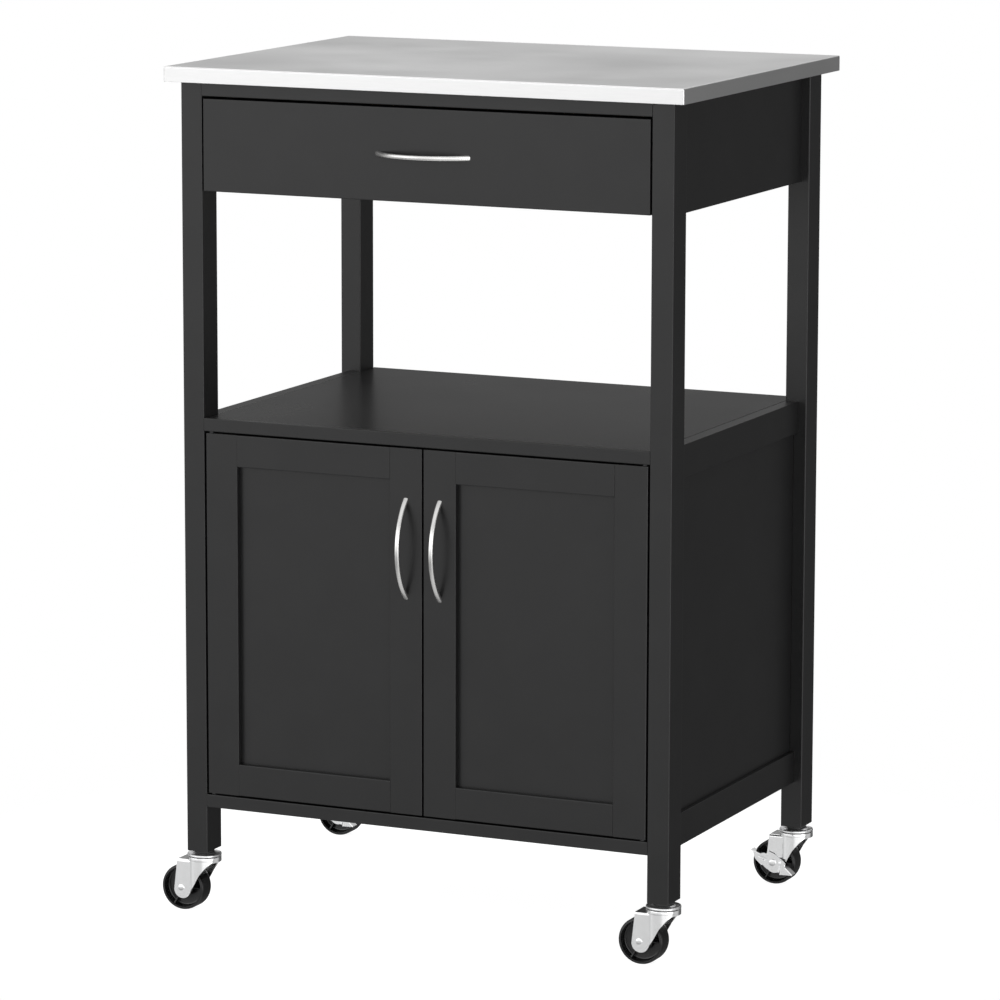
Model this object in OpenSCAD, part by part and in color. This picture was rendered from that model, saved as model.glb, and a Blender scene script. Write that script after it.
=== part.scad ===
// Microwave cart: a four-legged frame with a steel-clad worktop, one drawer, an open
// bay, a two-door cabinet and four stem casters, the rear two with brake levers.
// X runs across the front, Y from front to back, Z up from the floor.

/* [Frame] */
// Width over the outer faces of the legs
frame_w = 576; // [480:1:700]
// Depth over the outer faces of the legs
frame_d = 420; // [340:1:520]
// Width of a leg, seen from the front
leg_w = 25; // [22:0.5:40]
// Depth of a leg, seen from the side
leg_d = 34; // [30:0.5:50]
// Length of a leg
leg_h = 850; // [760:1:950]
// Radius of the long edges of a leg
leg_edge_r = 1.2; // [0.5:0.1:4]
// Thickness of aprons and rails
board_t = 15; // [12:0.5:18]
// How far aprons and side rails stand in from the outer face of the legs
side_inset = 10; // [6:0.5:12]
// Height of the side and rear aprons
apron_h = 120; // [110:1:150]
// Height of the rail above the drawer
top_rail_h = 15; // [12:0.5:24]
// Height of the side and rear rails of the cabinet
side_rail_h = 35.5; // [30:0.5:50]
// Height of the front rails under the shelf and under the doors
front_rail_h = 14.5; // [12:0.5:24]
// Strip of front rail seen in front of the shelf panel
rail_lip = 6; // [4:0.5:10]
// Strip of front rail in front of the base panel
base_lip = 12; // [10:0.5:20]

/* [Worktop] */
// Thickness of the worktop
top_t = 16.5; // [12:0.5:30]
// Overhang past the legs at each side
top_over_side = 15; // [6:0.5:40]
// Overhang past the legs in front
top_over_front = 11.5; // [6:0.5:40]
// Overhang past the legs behind
top_over_back = 16.5; // [6:0.5:40]
// Thickness of the steel sheet that wraps the worktop
sheet_t = 0.8; // [0.5:0.1:1.5]
// Width of the sheet turned in under the board
sheet_return = 12; // [4:0.5:14]
// Bend radius of the sheet's outer edges
sheet_bend_r = 1.5; // [0.8:0.1:3]

/* [Shelf and cabinet] */
// Distance from the top of the legs down to the shelf
shelf_drop = 365; // [320:1:450]
// Height of the lower rails above the foot of the legs
rails_up = 51.5; // [44:0.5:90]
// Thickness of the shelf and base panels
panel_t = 9; // [6:0.5:11]
// Seam between a panel and what stands beside it
panel_seam = 0.5; // [0.2:0.1:1]
// Thickness of the side panels
side_panel_t = 6; // [4:0.5:8]
// Distance from the outer face of the legs to the face of a side panel
side_panel_in = 15; // [12:0.5:16]
// Thickness of the back panel
back_panel_t = 5; // [3:0.5:6]
// Distance from the back of the legs to the back panel
back_panel_in = 5; // [4:0.5:8]
// Depth of the grooves that hold side, back and door panels
groove_d = 5; // [3:0.5:8]
// Width of the cleats under shelf and base
cleat_w = 18; // [12:1:30]
// Thickness of the adjustable shelf in the cabinet
inner_shelf_t = 12; // [9:1:18]
// Height of the adjustable shelf above the base panel
inner_shelf_up = 190; // [120:1:260]
// Radius of the shelf pins
shelf_pin_r = 2.5; // [2:0.1:3]
// Length of a shelf pin in its hole, and again outside it
shelf_pin_l = 8; // [6:0.5:10]

/* [Drawer] */
// Height of the drawer front
drawer_front_h = 100; // [95:0.5:115]
// Thickness of the drawer front
drawer_front_t = 18; // [15:0.5:20]
// Gap beside the drawer front
drawer_gap = 2; // [1.5:0.1:3]
// Gap over the drawer front
drawer_top_gap = 2.5; // [1.5:0.1:4]
// Height of the drawer box
drawer_box_h = 75; // [60:1:84]
// Space between the drawer box and the rear apron
drawer_back_gap = 27; // [20:1:90]
// Thickness of the drawer sides and back
drawer_side_t = 12; // [9:0.5:15]
// Thickness of the drawer bottom
drawer_bottom_t = 4; // [3:0.5:6]
// Space for a runner at each side of the drawer box
runner_space = 12.5; // [12.5:0.1:14]
// Height of a drawer runner
runner_h = 27; // [24:0.5:35]
// Steel thickness of the runners
runner_t = 1.2; // [1:0.1:1.3]
// Height of the drawer box above the lower edge of its front
box_rise = 3.5; // [2:0.5:8]
// How far the drawer opens
drawer_travel = 230; // [120:1:240]
// Diameter of the runner balls
ball_d = 4; // [3.4:0.1:4.2]

/* [Doors] */
// Gap round the doors and between them
door_gap = 2; // [1.5:0.1:3]
// Thickness of a door
door_t = 18; // [16:0.5:20]
// Width of the door stiles
stile_w = 38; // [34:0.5:60]
// Height of the door rails
door_rail_h = 35; // [30:0.5:60]
// Depth of the recess in front of a door panel
door_recess = 7; // [4:0.5:8]
// Thickness of a door panel
door_panel_t = 5; // [3:0.5:6]
// Distance of a hinge pin from the front and from the side of its door
hinge_in = 5; // [5:0.1:6]
// Radius of the hinge pins
hinge_pin_r = 1.5; // [1.2:0.1:2]
// Thickness of the hinge leaves
leaf_t = 2; // [1.5:0.1:2.5]

/* [Pulls] */
// Distance between the feet of a bow pull
pull_span = 104.6; // [80:0.1:140]
// How far the middle of the bow stands off
pull_reach = 21.5; // [18:0.5:32]
// Diameter of the bow's bar
pull_bar_d = 5.2; // [4:0.1:8]
// Distance from the top of a door to the middle of its pull
pull_drop = 109; // [80:1:160]

/* [Casters] */
// Height of a caster from the floor to the leg
caster_h = 70; // [68:0.5:76]
// Radius of a wheel
wheel_r = 25.5; // [22:0.1:26]
// Width of a wheel
wheel_w = 21; // [16:0.5:21]
// Distance of the wheel axle behind the stem
trail = 22.5; // [18:0.5:24]
// Steel thickness of the fork
fork_t = 1.8; // [1.5:0.1:2]
// Radius of the fork's round head
fork_head_r = 19.4; // [18:0.1:20]
// Height of the fork's skirt in front of the head
skirt_h = 2; // [1.4:0.1:4]
// Radius of the caster stem
stem_r = 5.5; // [4.5:0.1:6]
// Length of the stem in the leg
stem_l = 36; // [30:1:40]
// Radius of the axle rivet
axle_r = 3; // [2.5:0.1:3.5]
// Steel thickness of the brake lever
lever_t = 1.2; // [1:0.1:1.5]

/* [Hidden] */
$fn = 48;
// running clearance of pins and shafts, and slack of a panel in its groove
run_fit = 0.05;
groove_slack = 0.1;
fix_fit = 0.05;

paint = [0.075, 0.075, 0.08];
bare_board = [0.62, 0.50, 0.36];
steel = [0.75, 0.76, 0.77];
zinc = [0.83, 0.84, 0.85];
nickel = [0.72, 0.72, 0.71];
black_plastic = [0.05, 0.05, 0.055];

half_w = frame_w / 2;
inner_half = half_w - leg_w;
rear_y = frame_d - leg_d;
leg_bottom = caster_h;
leg_top = leg_bottom + leg_h;
side_x = half_w - side_inset;
span_y = frame_d - 2 * leg_d;

shelf_z = leg_top - shelf_drop;
shelf_under = shelf_z - panel_t;
rails_bottom = leg_bottom + rails_up;
base_z = rails_bottom + front_rail_h;
base_under = base_z - panel_t;
lower_rail_top = rails_bottom + side_rail_h;
upper_rail_bottom = shelf_z - side_rail_h;
rear_rail_y = frame_d - board_t;
back_y = frame_d - back_panel_in - back_panel_t;
panel_half = inner_half - panel_seam;
cleat_h = front_rail_h - panel_t;

// worktop
top_x = half_w + top_over_side;
top_y0 = -top_over_front;
top_y1 = frame_d + top_over_back;

// drawer
drawer_top = leg_top - top_rail_h - drawer_top_gap;
drawer_bottom_z = drawer_top - drawer_front_h;
drawer_half = inner_half - drawer_gap;
box_half = inner_half - runner_space;
box_z0 = drawer_bottom_z + box_rise;
box_z1 = box_z0 + drawer_box_h;
box_y0 = drawer_front_t;
box_y1 = frame_d - side_inset - board_t - drawer_back_gap;
box_floor_z = box_z0 + 6;
box_groove = 5;
runner_z = box_z0 + drawer_box_h / 2;
runner_y0 = drawer_front_t + 2;
runner_l = box_y1 - runner_y0 - 2;
ball_room = ball_d + 0.2;
runner_reach = runner_space - 2.5;
cage_l = runner_l - drawer_travel - 2.5 * ball_d;
cage_y0 = runner_y0 + (runner_l - cage_l) / 2;
cage_t = 0.6;
cage_balls = 5;

// doors, drawn on the left and mirrored for the right
door_x0 = -inner_half + door_gap;
door_x1 = -door_gap / 2;
door_z0 = base_z + door_gap;
door_z1 = shelf_z - front_rail_h - door_gap;
door_edge_r = 0.8;
hinge_edge_r = 1.5;
hinge_x = door_x0 + hinge_in;
leaf_r = hinge_in - 1;
leaf_l = stile_w - 2 * hinge_in;
pin_in_door = 8;
leaf_screw_r = 1.5;
leaf_screws = [0.45, 0.85];
screw_in_rail = 3.5;
screw_in_door = 5.5;
screw_tip_room = 0.5;
door_panel_in = groove_d + 3;
pull_x = door_x1 - stile_w / 2;
pull_z = door_z1 - pull_drop;
drawer_pull_z = (drawer_top + drawer_bottom_z) / 2;
pull_screw_r = 1.5;
pull_screw_in = 3;
pull_screw_x = pull_span / 2 - 1.6;

// catch on the front rail, strikes on the doors
catch_w = 48;
catch_d = 14;
catch_h = 12;
catch_gap = 0.2;
strike_t = 1.2;
strike_h = 14;
strike_w = 18;

// brackets under the worktop
bracket_w = 30;
bracket_leg = 24;
bracket_t = 1.6;
bracket_ys = [leg_d + bracket_w, rear_y - 2 * bracket_w];
screw_r = 1.75;
screw_head_r = 3.6;
screw_head_h = 1.8;
screw_l = 11;

// caster, measured down from the underside of the leg at the stem
axle_z = -(caster_h - wheel_r);
socket_flange_h = 3.5;
socket_flange_r = 11;
socket_wall = 1.9;
socket_r = stem_r + run_fit + socket_wall;
race_r = fork_head_r - 0.3;
race_rim_z = -7.0;
dish_top_z = race_rim_z - 1.0;
plate_z = -12;
plate_under = plate_z - fork_t;
fork_gap = wheel_w / 2 + 0.7;
fork_half = fork_gap + fork_t;
fork_back_x = -27.6;
fork_end_r = 10.3;
fork_end = [-trail - 0.6, axle_z - 1.2];
head_r = 4.3;
plain_head_r = 3.9;
head_h = 1.3;
lever_y = -fork_half - 0.3;
lever_step = 5.6;
lever_bend = 7;
lever_tilt = 8;
lever_flange = 10;
foot_inset = 0.4;
rib_count = 3;

// the overall box, from which the origin is taken
reach_left = -(half_w - leg_w / 2) - trail - wheel_r;
reach_front = -pull_reach - pull_bar_d / 2;
origin_x = (reach_left + top_x) / 2;
origin_y = (reach_front + top_y1) / 2;

// ---------- helpers ----------

// moves cart coordinates into the part's frame
module in_frame() {
    translate([-origin_x, -origin_y, 0]) children();
}

module block(x0, x1, y0, y1, z0, z1) {
    translate([x0, y0, z0]) cube([x1 - x0, y1 - y0, z1 - z0]);
}

// rectangle with round corners, from its lower-left corner
module rounded_rect(w, d, r) {
    translate([r, 0]) square([w - 2 * r, d]);
    translate([0, r]) square([w, d - 2 * r]);
    for (x = [r, w - r], y = [r, d - r]) translate([x, y]) circle(r = r);
}

// board with its four long edges rounded, running along Z
module post(w, d, h, r) {
    linear_extrude(h) rounded_rect(w, d, r);
}

// board between two X planes with its long edges rounded
module beam_x(x0, x1, y0, y1, z0, z1, r) {
    translate([x0, y0, z0]) rotate([90, 0, 90])
        linear_extrude(x1 - x0) rounded_rect(y1 - y0, z1 - z0, r);
}

// board between two Y planes with its long edges rounded
module beam_y(x0, x1, y0, y1, z0, z1, r) {
    translate([x0, y1, z0]) rotate([90, 0, 0])
        linear_extrude(y1 - y0) rounded_rect(x1 - x0, z1 - z0, r);
}

module pin_z(x, y, z0, z1, r) {
    translate([x, y, z0]) cylinder(r = r, h = z1 - z0);
}

module pin_y(x, y0, y1, z, r) {
    translate([x, y1, z]) rotate([90, 0, 0]) cylinder(r = r, h = y1 - y0);
}

module pin_x(x0, x1, y, z, r) {
    translate([x0, y, z]) rotate([0, 90, 0]) cylinder(r = r, h = x1 - x0);
}

// both sides of the cart
module both_sides() {
    children();
    mirror([1, 0, 0]) children();
}

// ---------- legs ----------

// stem positions: side -1 left or 1 right, row 0 front or 1 rear
function stem_x(side) = side * (half_w - leg_w / 2);
function stem_y(row) = row == 0 ? leg_d / 2 : frame_d - leg_d / 2;

// left leg of a row, with its grooves, socket bore and pin hole
module left_leg(row) {
    y0 = row == 0 ? 0 : rear_y;
    inward = row == 0 ? 1 : -1;
    face_y = row == 0 ? leg_d : rear_y;
    difference() {
        translate([-half_w, y0, leg_bottom]) post(leg_w, leg_d, leg_h, leg_edge_r);
        side_panel_room(face_y);
        back_panel_room();
        pin_z(stem_x(-1), stem_y(row), leg_bottom - 1, leg_bottom + stem_l + 2,
            socket_r + fix_fit);
        pin_x(-inner_half - shelf_pin_l, -inner_half + 1, pin_row_y(row), pin_row_z,
            shelf_pin_r + fix_fit);
        if (row == 0) runner_screw_holes();
    }
}

// groove for a side panel where it enters the leg face at face_y
module side_panel_room(face_y) {
    block(-half_w + side_panel_in - groove_slack,
        -half_w + side_panel_in + side_panel_t + groove_slack,
        face_y - groove_d, face_y + groove_d,
        lower_rail_top - groove_d, upper_rail_bottom + groove_d);
}

// groove for the back panel
module back_panel_room() {
    block(-inner_half - groove_d, inner_half + groove_d,
        back_y - groove_slack, back_y + back_panel_t + groove_slack,
        lower_rail_top - groove_d, upper_rail_bottom + groove_d);
}

module leg_front_left() { in_frame() color(paint) left_leg(0); }
module leg_front_right() { in_frame() color(paint) mirror([1, 0, 0]) left_leg(0); }
module leg_rear_left() { in_frame() color(paint) left_leg(1); }
module leg_rear_right() { in_frame() color(paint) mirror([1, 0, 0]) left_leg(1); }

// ---------- worktop ----------

// slab with rounded upright corners and rounded upper edges
module bent_slab(x0, x1, y0, y1, z0, z1, r) {
    translate([x0, y0, z0]) linear_extrude(z1 - r - z0) rounded_rect(x1 - x0, y1 - y0, r);
    block(x0 + r, x1 - r, y0 + r, y1 - r, z1 - r - 1, z1);
    for (y = [y0 + r, y1 - r]) pin_x(x0 + r, x1 - r, y, z1 - r, r);
    for (x = [x0 + r, x1 - r]) pin_y(x, y0 + r, y1 - r, z1 - r, r);
    for (x = [x0 + r, x1 - r], y = [y0 + r, y1 - r]) translate([x, y, z1 - r]) sphere(r = r);
}

module worktop_board() {
    in_frame() color(bare_board) difference() {
        union() {
            block(-top_x + sheet_t, top_x - sheet_t, top_y0 + sheet_t, top_y1 - sheet_t,
                leg_top + sheet_t, leg_top + top_t - sheet_t);
            block(-top_x + sheet_return, top_x - sheet_return,
                top_y0 + sheet_return, top_y1 - sheet_return,
                leg_top, leg_top + sheet_t + 0.1);
        }
        both_sides() for (y = bracket_ys) bracket_screw_up(y, fix_fit);
    }
}

module worktop_sheet() {
    in_frame() color(steel) difference() {
        bent_slab(-top_x, top_x, top_y0, top_y1, leg_top, leg_top + top_t, sheet_bend_r);
        block(-top_x + sheet_t, top_x - sheet_t, top_y0 + sheet_t, top_y1 - sheet_t,
            leg_top + sheet_t, leg_top + top_t - sheet_t);
        block(-top_x + sheet_return, top_x - sheet_return,
            top_y0 + sheet_return, top_y1 - sheet_return,
            leg_top - 1, leg_top + sheet_t + 1);
    }
}

// ---------- rails, aprons and panels ----------

module top_front_rail() {
    in_frame() color(paint)
        beam_x(-inner_half, inner_half, 0, leg_d, leg_top - top_rail_h, leg_top, 0.8);
}

module left_apron() {
    difference() {
        beam_y(-side_x, -side_x + board_t, leg_d, rear_y, leg_top - apron_h, leg_top, 0.8);
        for (y = bracket_ys) bracket_screw_side(y, fix_fit);
        runner_screw_holes();
    }
}

module apron_left() { in_frame() color(paint) left_apron(); }
module apron_right() { in_frame() color(paint) mirror([1, 0, 0]) left_apron(); }

module apron_rear() {
    in_frame() color(paint)
        beam_x(-inner_half, inner_half, frame_d - side_inset - board_t,
            frame_d - side_inset, leg_top - apron_h, leg_top, 0.8);
}

// front rail whose upper face, at z_top, is stepped down for a panel behind its lip
module stepped_rail(z_top, lip) {
    difference() {
        beam_x(-inner_half, inner_half, 0, leg_d, z_top - front_rail_h, z_top, 0.8);
        block(-inner_half - 1, inner_half + 1, lip, leg_d + 1,
            z_top - panel_t, z_top + 1);
    }
}

module shelf_panel() {
    in_frame() color(paint)
        block(-panel_half, panel_half, rail_lip + panel_seam, frame_d,
            shelf_under, shelf_z);
}

module shelf_front_rail() {
    in_frame() color(paint) difference() {
        stepped_rail(shelf_z, rail_lip);
        both_sides() {
            leaf_room(shelf_z - front_rail_h, shelf_z - front_rail_h + leaf_t);
            leaf_screw_room(shelf_z - front_rail_h + leaf_t, screw_in_rail + screw_tip_room);
        }
    }
}

module base_panel() {
    in_frame() color(paint)
        block(-panel_half, panel_half, base_lip + panel_seam,
            rear_rail_y - panel_seam, base_under, base_z);
}

module base_front_rail() {
    in_frame() color(paint) difference() {
        stepped_rail(base_z, base_lip);
        both_sides() {
            leaf_room(base_z - leaf_t, base_z);
            leaf_screw_room(base_z - leaf_t - screw_in_rail - screw_tip_room,
                screw_in_rail + screw_tip_room);
        }
    }
}

// upper and lower side rail, grooved for the side panel
module left_side_rails() {
    difference() {
        for (z = [upper_rail_bottom, rails_bottom])
            beam_y(-side_x, -side_x + board_t, leg_d, rear_y, z, z + side_rail_h, 0.6);
        block(-half_w + side_panel_in - groove_slack,
            -half_w + side_panel_in + side_panel_t + groove_slack,
            leg_d - 1, rear_y + 1,
            lower_rail_top - groove_d, upper_rail_bottom + groove_d);
    }
}

module side_rails_left() { in_frame() color(paint) left_side_rails(); }
module side_rails_right() { in_frame() color(paint) mirror([1, 0, 0]) left_side_rails(); }

module rear_rails() {
    in_frame() color(paint) difference() {
        union() {
            block(-inner_half, inner_half, rear_rail_y, frame_d,
                upper_rail_bottom, shelf_under);
            block(-inner_half, inner_half, rear_rail_y, frame_d,
                rails_bottom, lower_rail_top);
        }
        back_panel_room();
    }
}

module left_side_panel() {
    slack = 2 * groove_slack;
    block(-half_w + side_panel_in, -half_w + side_panel_in + side_panel_t,
        leg_d - groove_d + slack, rear_y + groove_d - slack,
        lower_rail_top - groove_d + slack, upper_rail_bottom + groove_d - slack);
}

module side_panel_left() { in_frame() color(paint) left_side_panel(); }
module side_panel_right() { in_frame() color(paint) mirror([1, 0, 0]) left_side_panel(); }

module back_panel() {
    slack = 2 * groove_slack;
    in_frame() color(paint)
        block(-inner_half - groove_d + slack, inner_half + groove_d - slack,
            back_y, back_y + back_panel_t,
            lower_rail_top - groove_d + slack, upper_rail_bottom + groove_d - slack);
}

// cleats that carry the shelf and base panels along their sides and the base at the rear
module panel_cleats() {
    in_frame() color(paint) {
        both_sides() for (z = [shelf_under, base_under])
            block(-inner_half, -inner_half + cleat_w, leg_d, rear_y, z - cleat_h, z);
        block(-inner_half + cleat_w, inner_half - cleat_w, rear_rail_y - cleat_w,
            rear_rail_y, base_under - cleat_h, base_under);
    }
}

// ---------- adjustable shelf ----------

inner_shelf_z = base_z + inner_shelf_up;
pin_row_z = inner_shelf_z - shelf_pin_r;
function pin_row_y(row) = row == 0 ? (door_t + leg_d) / 2 - 1 : rear_y + leg_d / 4;

module inner_shelf() {
    in_frame() color(paint)
        block(-inner_half + 2 * panel_seam, inner_half - 2 * panel_seam,
            door_t + 4, back_y - 1, inner_shelf_z, inner_shelf_z + inner_shelf_t);
}

module shelf_pins() {
    in_frame() color(zinc) both_sides() for (row = [0, 1])
        pin_x(-inner_half - shelf_pin_l, -inner_half + shelf_pin_l,
            pin_row_y(row), pin_row_z, shelf_pin_r);
}

// ---------- worktop brackets and screws ----------

// screw from a bracket sideways into the left apron, grown by fit where it is a hole
module bracket_screw_side(y, fit) {
    z = leg_top - bracket_leg * 0.65;
    x = -inner_half + bracket_t;
    pin_x(x - screw_l, x, y + bracket_w / 2, z, screw_r + fit);
    if (fit == 0) pin_x(x, x + screw_head_h, y + bracket_w / 2, z, screw_head_r);
}

// screw from a bracket up into the worktop board
module bracket_screw_up(y, fit) {
    x = -inner_half + bracket_leg * 0.65;
    z = leg_top - bracket_t;
    pin_z(x, y + bracket_w / 2, z, z + screw_l, screw_r + fit);
    if (fit == 0) pin_z(x, y + bracket_w / 2, z - screw_head_h, z, screw_head_r);
}

module worktop_brackets() {
    in_frame() color(zinc) both_sides() for (y = bracket_ys) difference() {
        union() {
            block(-inner_half, -inner_half + bracket_t, y, y + bracket_w,
                leg_top - bracket_leg, leg_top);
            block(-inner_half, -inner_half + bracket_leg, y, y + bracket_w,
                leg_top - bracket_t, leg_top);
        }
        bracket_screw_side(y, fix_fit);
        bracket_screw_up(y, fix_fit);
    }
}

runner_screw_ys = [(runner_y0 + leg_d) / 2, frame_d / 2, box_y1 - runner_space * 1.8];

// screws from the fixed runner into the leg and the apron
module runner_screws(fit) {
    for (y = runner_screw_ys) {
        x = -inner_half + runner_t;
        pin_x(x - screw_l, x, y, runner_z, screw_r + fit);
        if (fit == 0) pin_x(x, x + 0.3, y, runner_z, screw_head_r);
    }
}

module runner_screw_holes() {
    runner_screws(fix_fit);
}

module frame_screws() {
    in_frame() color(zinc) both_sides() {
        for (y = bracket_ys) {
            bracket_screw_side(y, 0);
            bracket_screw_up(y, 0);
        }
        runner_screws(0);
    }
}

// ---------- drawer ----------

module drawer_front() {
    in_frame() color(paint) difference() {
        beam_x(-drawer_half, drawer_half, 0, drawer_front_t,
            drawer_bottom_z, drawer_top, door_edge_r);
        box_floor_room();
        for (s = [-1, 1])
            pin_y(s * pull_screw_x, -1, drawer_front_t + 1, drawer_pull_z,
                pull_screw_r + fix_fit);
    }
}

// groove for the drawer bottom
module box_floor_room() {
    block(-box_half + drawer_side_t - box_groove, box_half - drawer_side_t + box_groove,
        box_y0 - box_groove, box_y1 - drawer_side_t + box_groove,
        box_floor_z - groove_slack, box_floor_z + drawer_bottom_t + groove_slack);
}

module drawer_sides() {
    in_frame() color(bare_board) difference() {
        both_sides() block(-box_half, -box_half + drawer_side_t, box_y0, box_y1,
            box_z0, box_z1);
        box_floor_room();
    }
}

module drawer_back() {
    in_frame() color(bare_board) difference() {
        block(-box_half + drawer_side_t, box_half - drawer_side_t,
            box_y1 - drawer_side_t, box_y1, box_z0, box_z1);
        box_floor_room();
    }
}

module drawer_bottom() {
    slack = 2 * groove_slack;
    in_frame() color(bare_board)
        block(-box_half + drawer_side_t - box_groove + slack,
            box_half - drawer_side_t + box_groove - slack,
            box_y0 - box_groove + slack, box_y1 - drawer_side_t + box_groove - slack,
            box_floor_z, box_floor_z + drawer_bottom_t);
}

// C-shaped runner section in X and Z, standing on its web at x = 0 and open towards +X
module channel(h, reach, t) {
    square([t, h]);
    square([reach, t]);
    translate([0, h - t]) square([reach, t]);
}

module along_runner(y0, l) {
    translate([0, y0 + l, 0]) rotate([90, 0, 0]) linear_extrude(l) children();
}

module drawer_runners_fixed() {
    in_frame() color(steel) both_sides() difference() {
        along_runner(runner_y0, runner_l)
            translate([-inner_half, runner_z - runner_h / 2])
                channel(runner_h, runner_reach, runner_t);
        runner_screw_holes();
    }
}

module drawer_runners_moving() {
    h = runner_h - 2 * runner_t - 2 * ball_room;
    in_frame() color(steel) both_sides()
        along_runner(runner_y0, runner_l)
            translate([-box_half, runner_z - h / 2]) mirror([1, 0])
                channel(h, runner_reach - 1, runner_t);
}

// ball cages between the runners, which travel half as far as the drawer
module runner_ball_cages() {
    h = runner_h - 2 * runner_t - ball_room + cage_t;
    ball_x = -inner_half + runner_space / 2;
    pitch = cage_l / cage_balls;
    in_frame() color(steel) both_sides() {
        along_runner(cage_y0, cage_l)
            translate([-inner_half + runner_t + 0.6, runner_z - h / 2])
                channel(h, runner_reach - 4, cage_t);
        for (i = [0 : cage_balls - 1], s = [-1, 1])
            translate([ball_x, cage_y0 + pitch * (i + 0.5), runner_z + s * (h - cage_t) / 2])
                sphere(r = ball_d / 2, $fn = 24);
    }
}

// ---------- bow pulls ----------

// bow in the XY plane, its ends cut off at y = 0, standing off to -Y
module bow_pull() {
    half = pull_span / 2;
    bow_r = (half * half + pull_reach * pull_reach) / (2 * pull_reach);
    sweep = 2 * asin(half / bow_r) + 16;
    difference() {
        translate([0, bow_r - pull_reach, 0]) rotate([0, 0, -90 - sweep / 2])
            rotate_extrude(angle = sweep, $fn = 96)
                translate([bow_r, 0]) circle(r = pull_bar_d / 2, $fn = 32);
        translate([-pull_span, 0, -pull_bar_d])
            cube([2 * pull_span, bow_r, 2 * pull_bar_d]);
        for (s = [-1, 1])
            pin_y(s * pull_screw_x, -pull_screw_in, 1, 0, pull_screw_r + fix_fit);
    }
}

// the two screws of a pull, through a front of thickness t
module bow_screws(t) {
    for (s = [-1, 1]) {
        pin_y(s * pull_screw_x, -pull_screw_in + 0.2, t, 0, pull_screw_r);
        pin_y(s * pull_screw_x, t, t + 2, 0, 2.4 * pull_screw_r);
    }
}

module drawer_pull() {
    in_frame() color(nickel) translate([0, 0, drawer_pull_z]) bow_pull();
}

module drawer_pull_screws() {
    in_frame() color(zinc) translate([0, 0, drawer_pull_z]) bow_screws(drawer_front_t);
}

// ---------- doors ----------

// room for the panel in the stiles and rails
module door_panel_room() {
    block(door_x0 + stile_w - door_panel_in, door_x1 - stile_w + door_panel_in,
        door_recess - groove_slack, door_recess + door_panel_t + groove_slack,
        door_z0 + door_rail_h - door_panel_in, door_z1 - door_rail_h + door_panel_in);
}

// outline of a hinge leaf, round at the pin
module leaf_outline(grow) {
    translate([hinge_x, hinge_in]) circle(r = leaf_r + grow);
    translate([hinge_x, hinge_in - leaf_r - grow]) square([leaf_l, 2 * (leaf_r + grow)]);
}

module leaf_room(z0, z1) {
    translate([0, 0, z0]) linear_extrude(z1 - z0) leaf_outline(fix_fit);
}

module leaf_screw_room(z0, h) {
    for (k = leaf_screws) pin_z(hinge_x + k * leaf_l, hinge_in, z0, z0 + h,
        leaf_screw_r + fix_fit);
}

module left_stiles() {
    difference() {
        union() {
            translate([door_x0, 0, door_z0])
                post(stile_w, door_t, door_z1 - door_z0, hinge_edge_r);
            translate([door_x0 + stile_w / 2, 0, door_z0])
                post(stile_w / 2, door_t, door_z1 - door_z0, door_edge_r);
            translate([door_x1 - stile_w, 0, door_z0])
                post(stile_w, door_t, door_z1 - door_z0, door_edge_r);
        }
        door_panel_room();
        leaf_room(door_z1 - leaf_t, door_z1);
        leaf_room(door_z0, door_z0 + leaf_t);
        leaf_screw_room(door_z1 - leaf_t - screw_in_door - screw_tip_room,
            screw_in_door + screw_tip_room);
        leaf_screw_room(door_z0 + leaf_t, screw_in_door + screw_tip_room);
        for (z = [door_z0, door_z1 - pin_in_door])
            pin_z(hinge_x, hinge_in, z, z + pin_in_door, hinge_pin_r + 0.4);
        for (s = [-1, 1])
            pin_y(pull_x, -1, door_t + 1, pull_z + s * pull_screw_x, pull_screw_r + fix_fit);
    }
}

module left_rails() {
    difference() {
        for (z = [door_z0, door_z1 - door_rail_h])
            beam_x(door_x0 + stile_w, door_x1 - stile_w, 0, door_t, z, z + door_rail_h,
                door_edge_r);
        door_panel_room();
    }
}

module left_door_panel() {
    slack = 2 * groove_slack;
    block(door_x0 + stile_w - door_panel_in + slack, door_x1 - stile_w + door_panel_in - slack,
        door_recess, door_recess + door_panel_t,
        door_z0 + door_rail_h - door_panel_in + slack,
        door_z1 - door_rail_h + door_panel_in - slack);
}

// a hinge leaf from z0 to z0 + leaf_t
module leaf(z0, bore_r) {
    difference() {
        translate([0, 0, z0]) linear_extrude(leaf_t) leaf_outline(0);
        leaf_screw_room(z0 - 1, leaf_t + 2);
        if (bore_r > 0) pin_z(hinge_x, hinge_in, z0 - 1, z0 + leaf_t + 1, bore_r);
    }
}

// leaves, their screws, the strike plate and the pull's screws
module left_fittings() {
    bore_r = hinge_pin_r + run_fit;
    leaf(door_z1 - leaf_t, bore_r);
    leaf(door_z0, bore_r);
    for (k = leaf_screws) {
        x = hinge_x + k * leaf_l;
        pin_z(x, hinge_in, door_z1 - leaf_t - screw_in_door, door_z1 - 0.2, leaf_screw_r);
        pin_z(x, hinge_in, door_z0 + 0.2, door_z0 + leaf_t + screw_in_door, leaf_screw_r);
    }
    block(-catch_w / 4 - strike_w / 2, -catch_w / 4 + strike_w / 2, door_t,
        door_t + strike_t, door_z1 - strike_h, door_z1);
    translate([pull_x, 0, pull_z]) rotate([0, 90, 0]) bow_screws(door_t);
}

module left_pull() {
    translate([pull_x, 0, pull_z]) rotate([0, 90, 0]) bow_pull();
}

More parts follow.
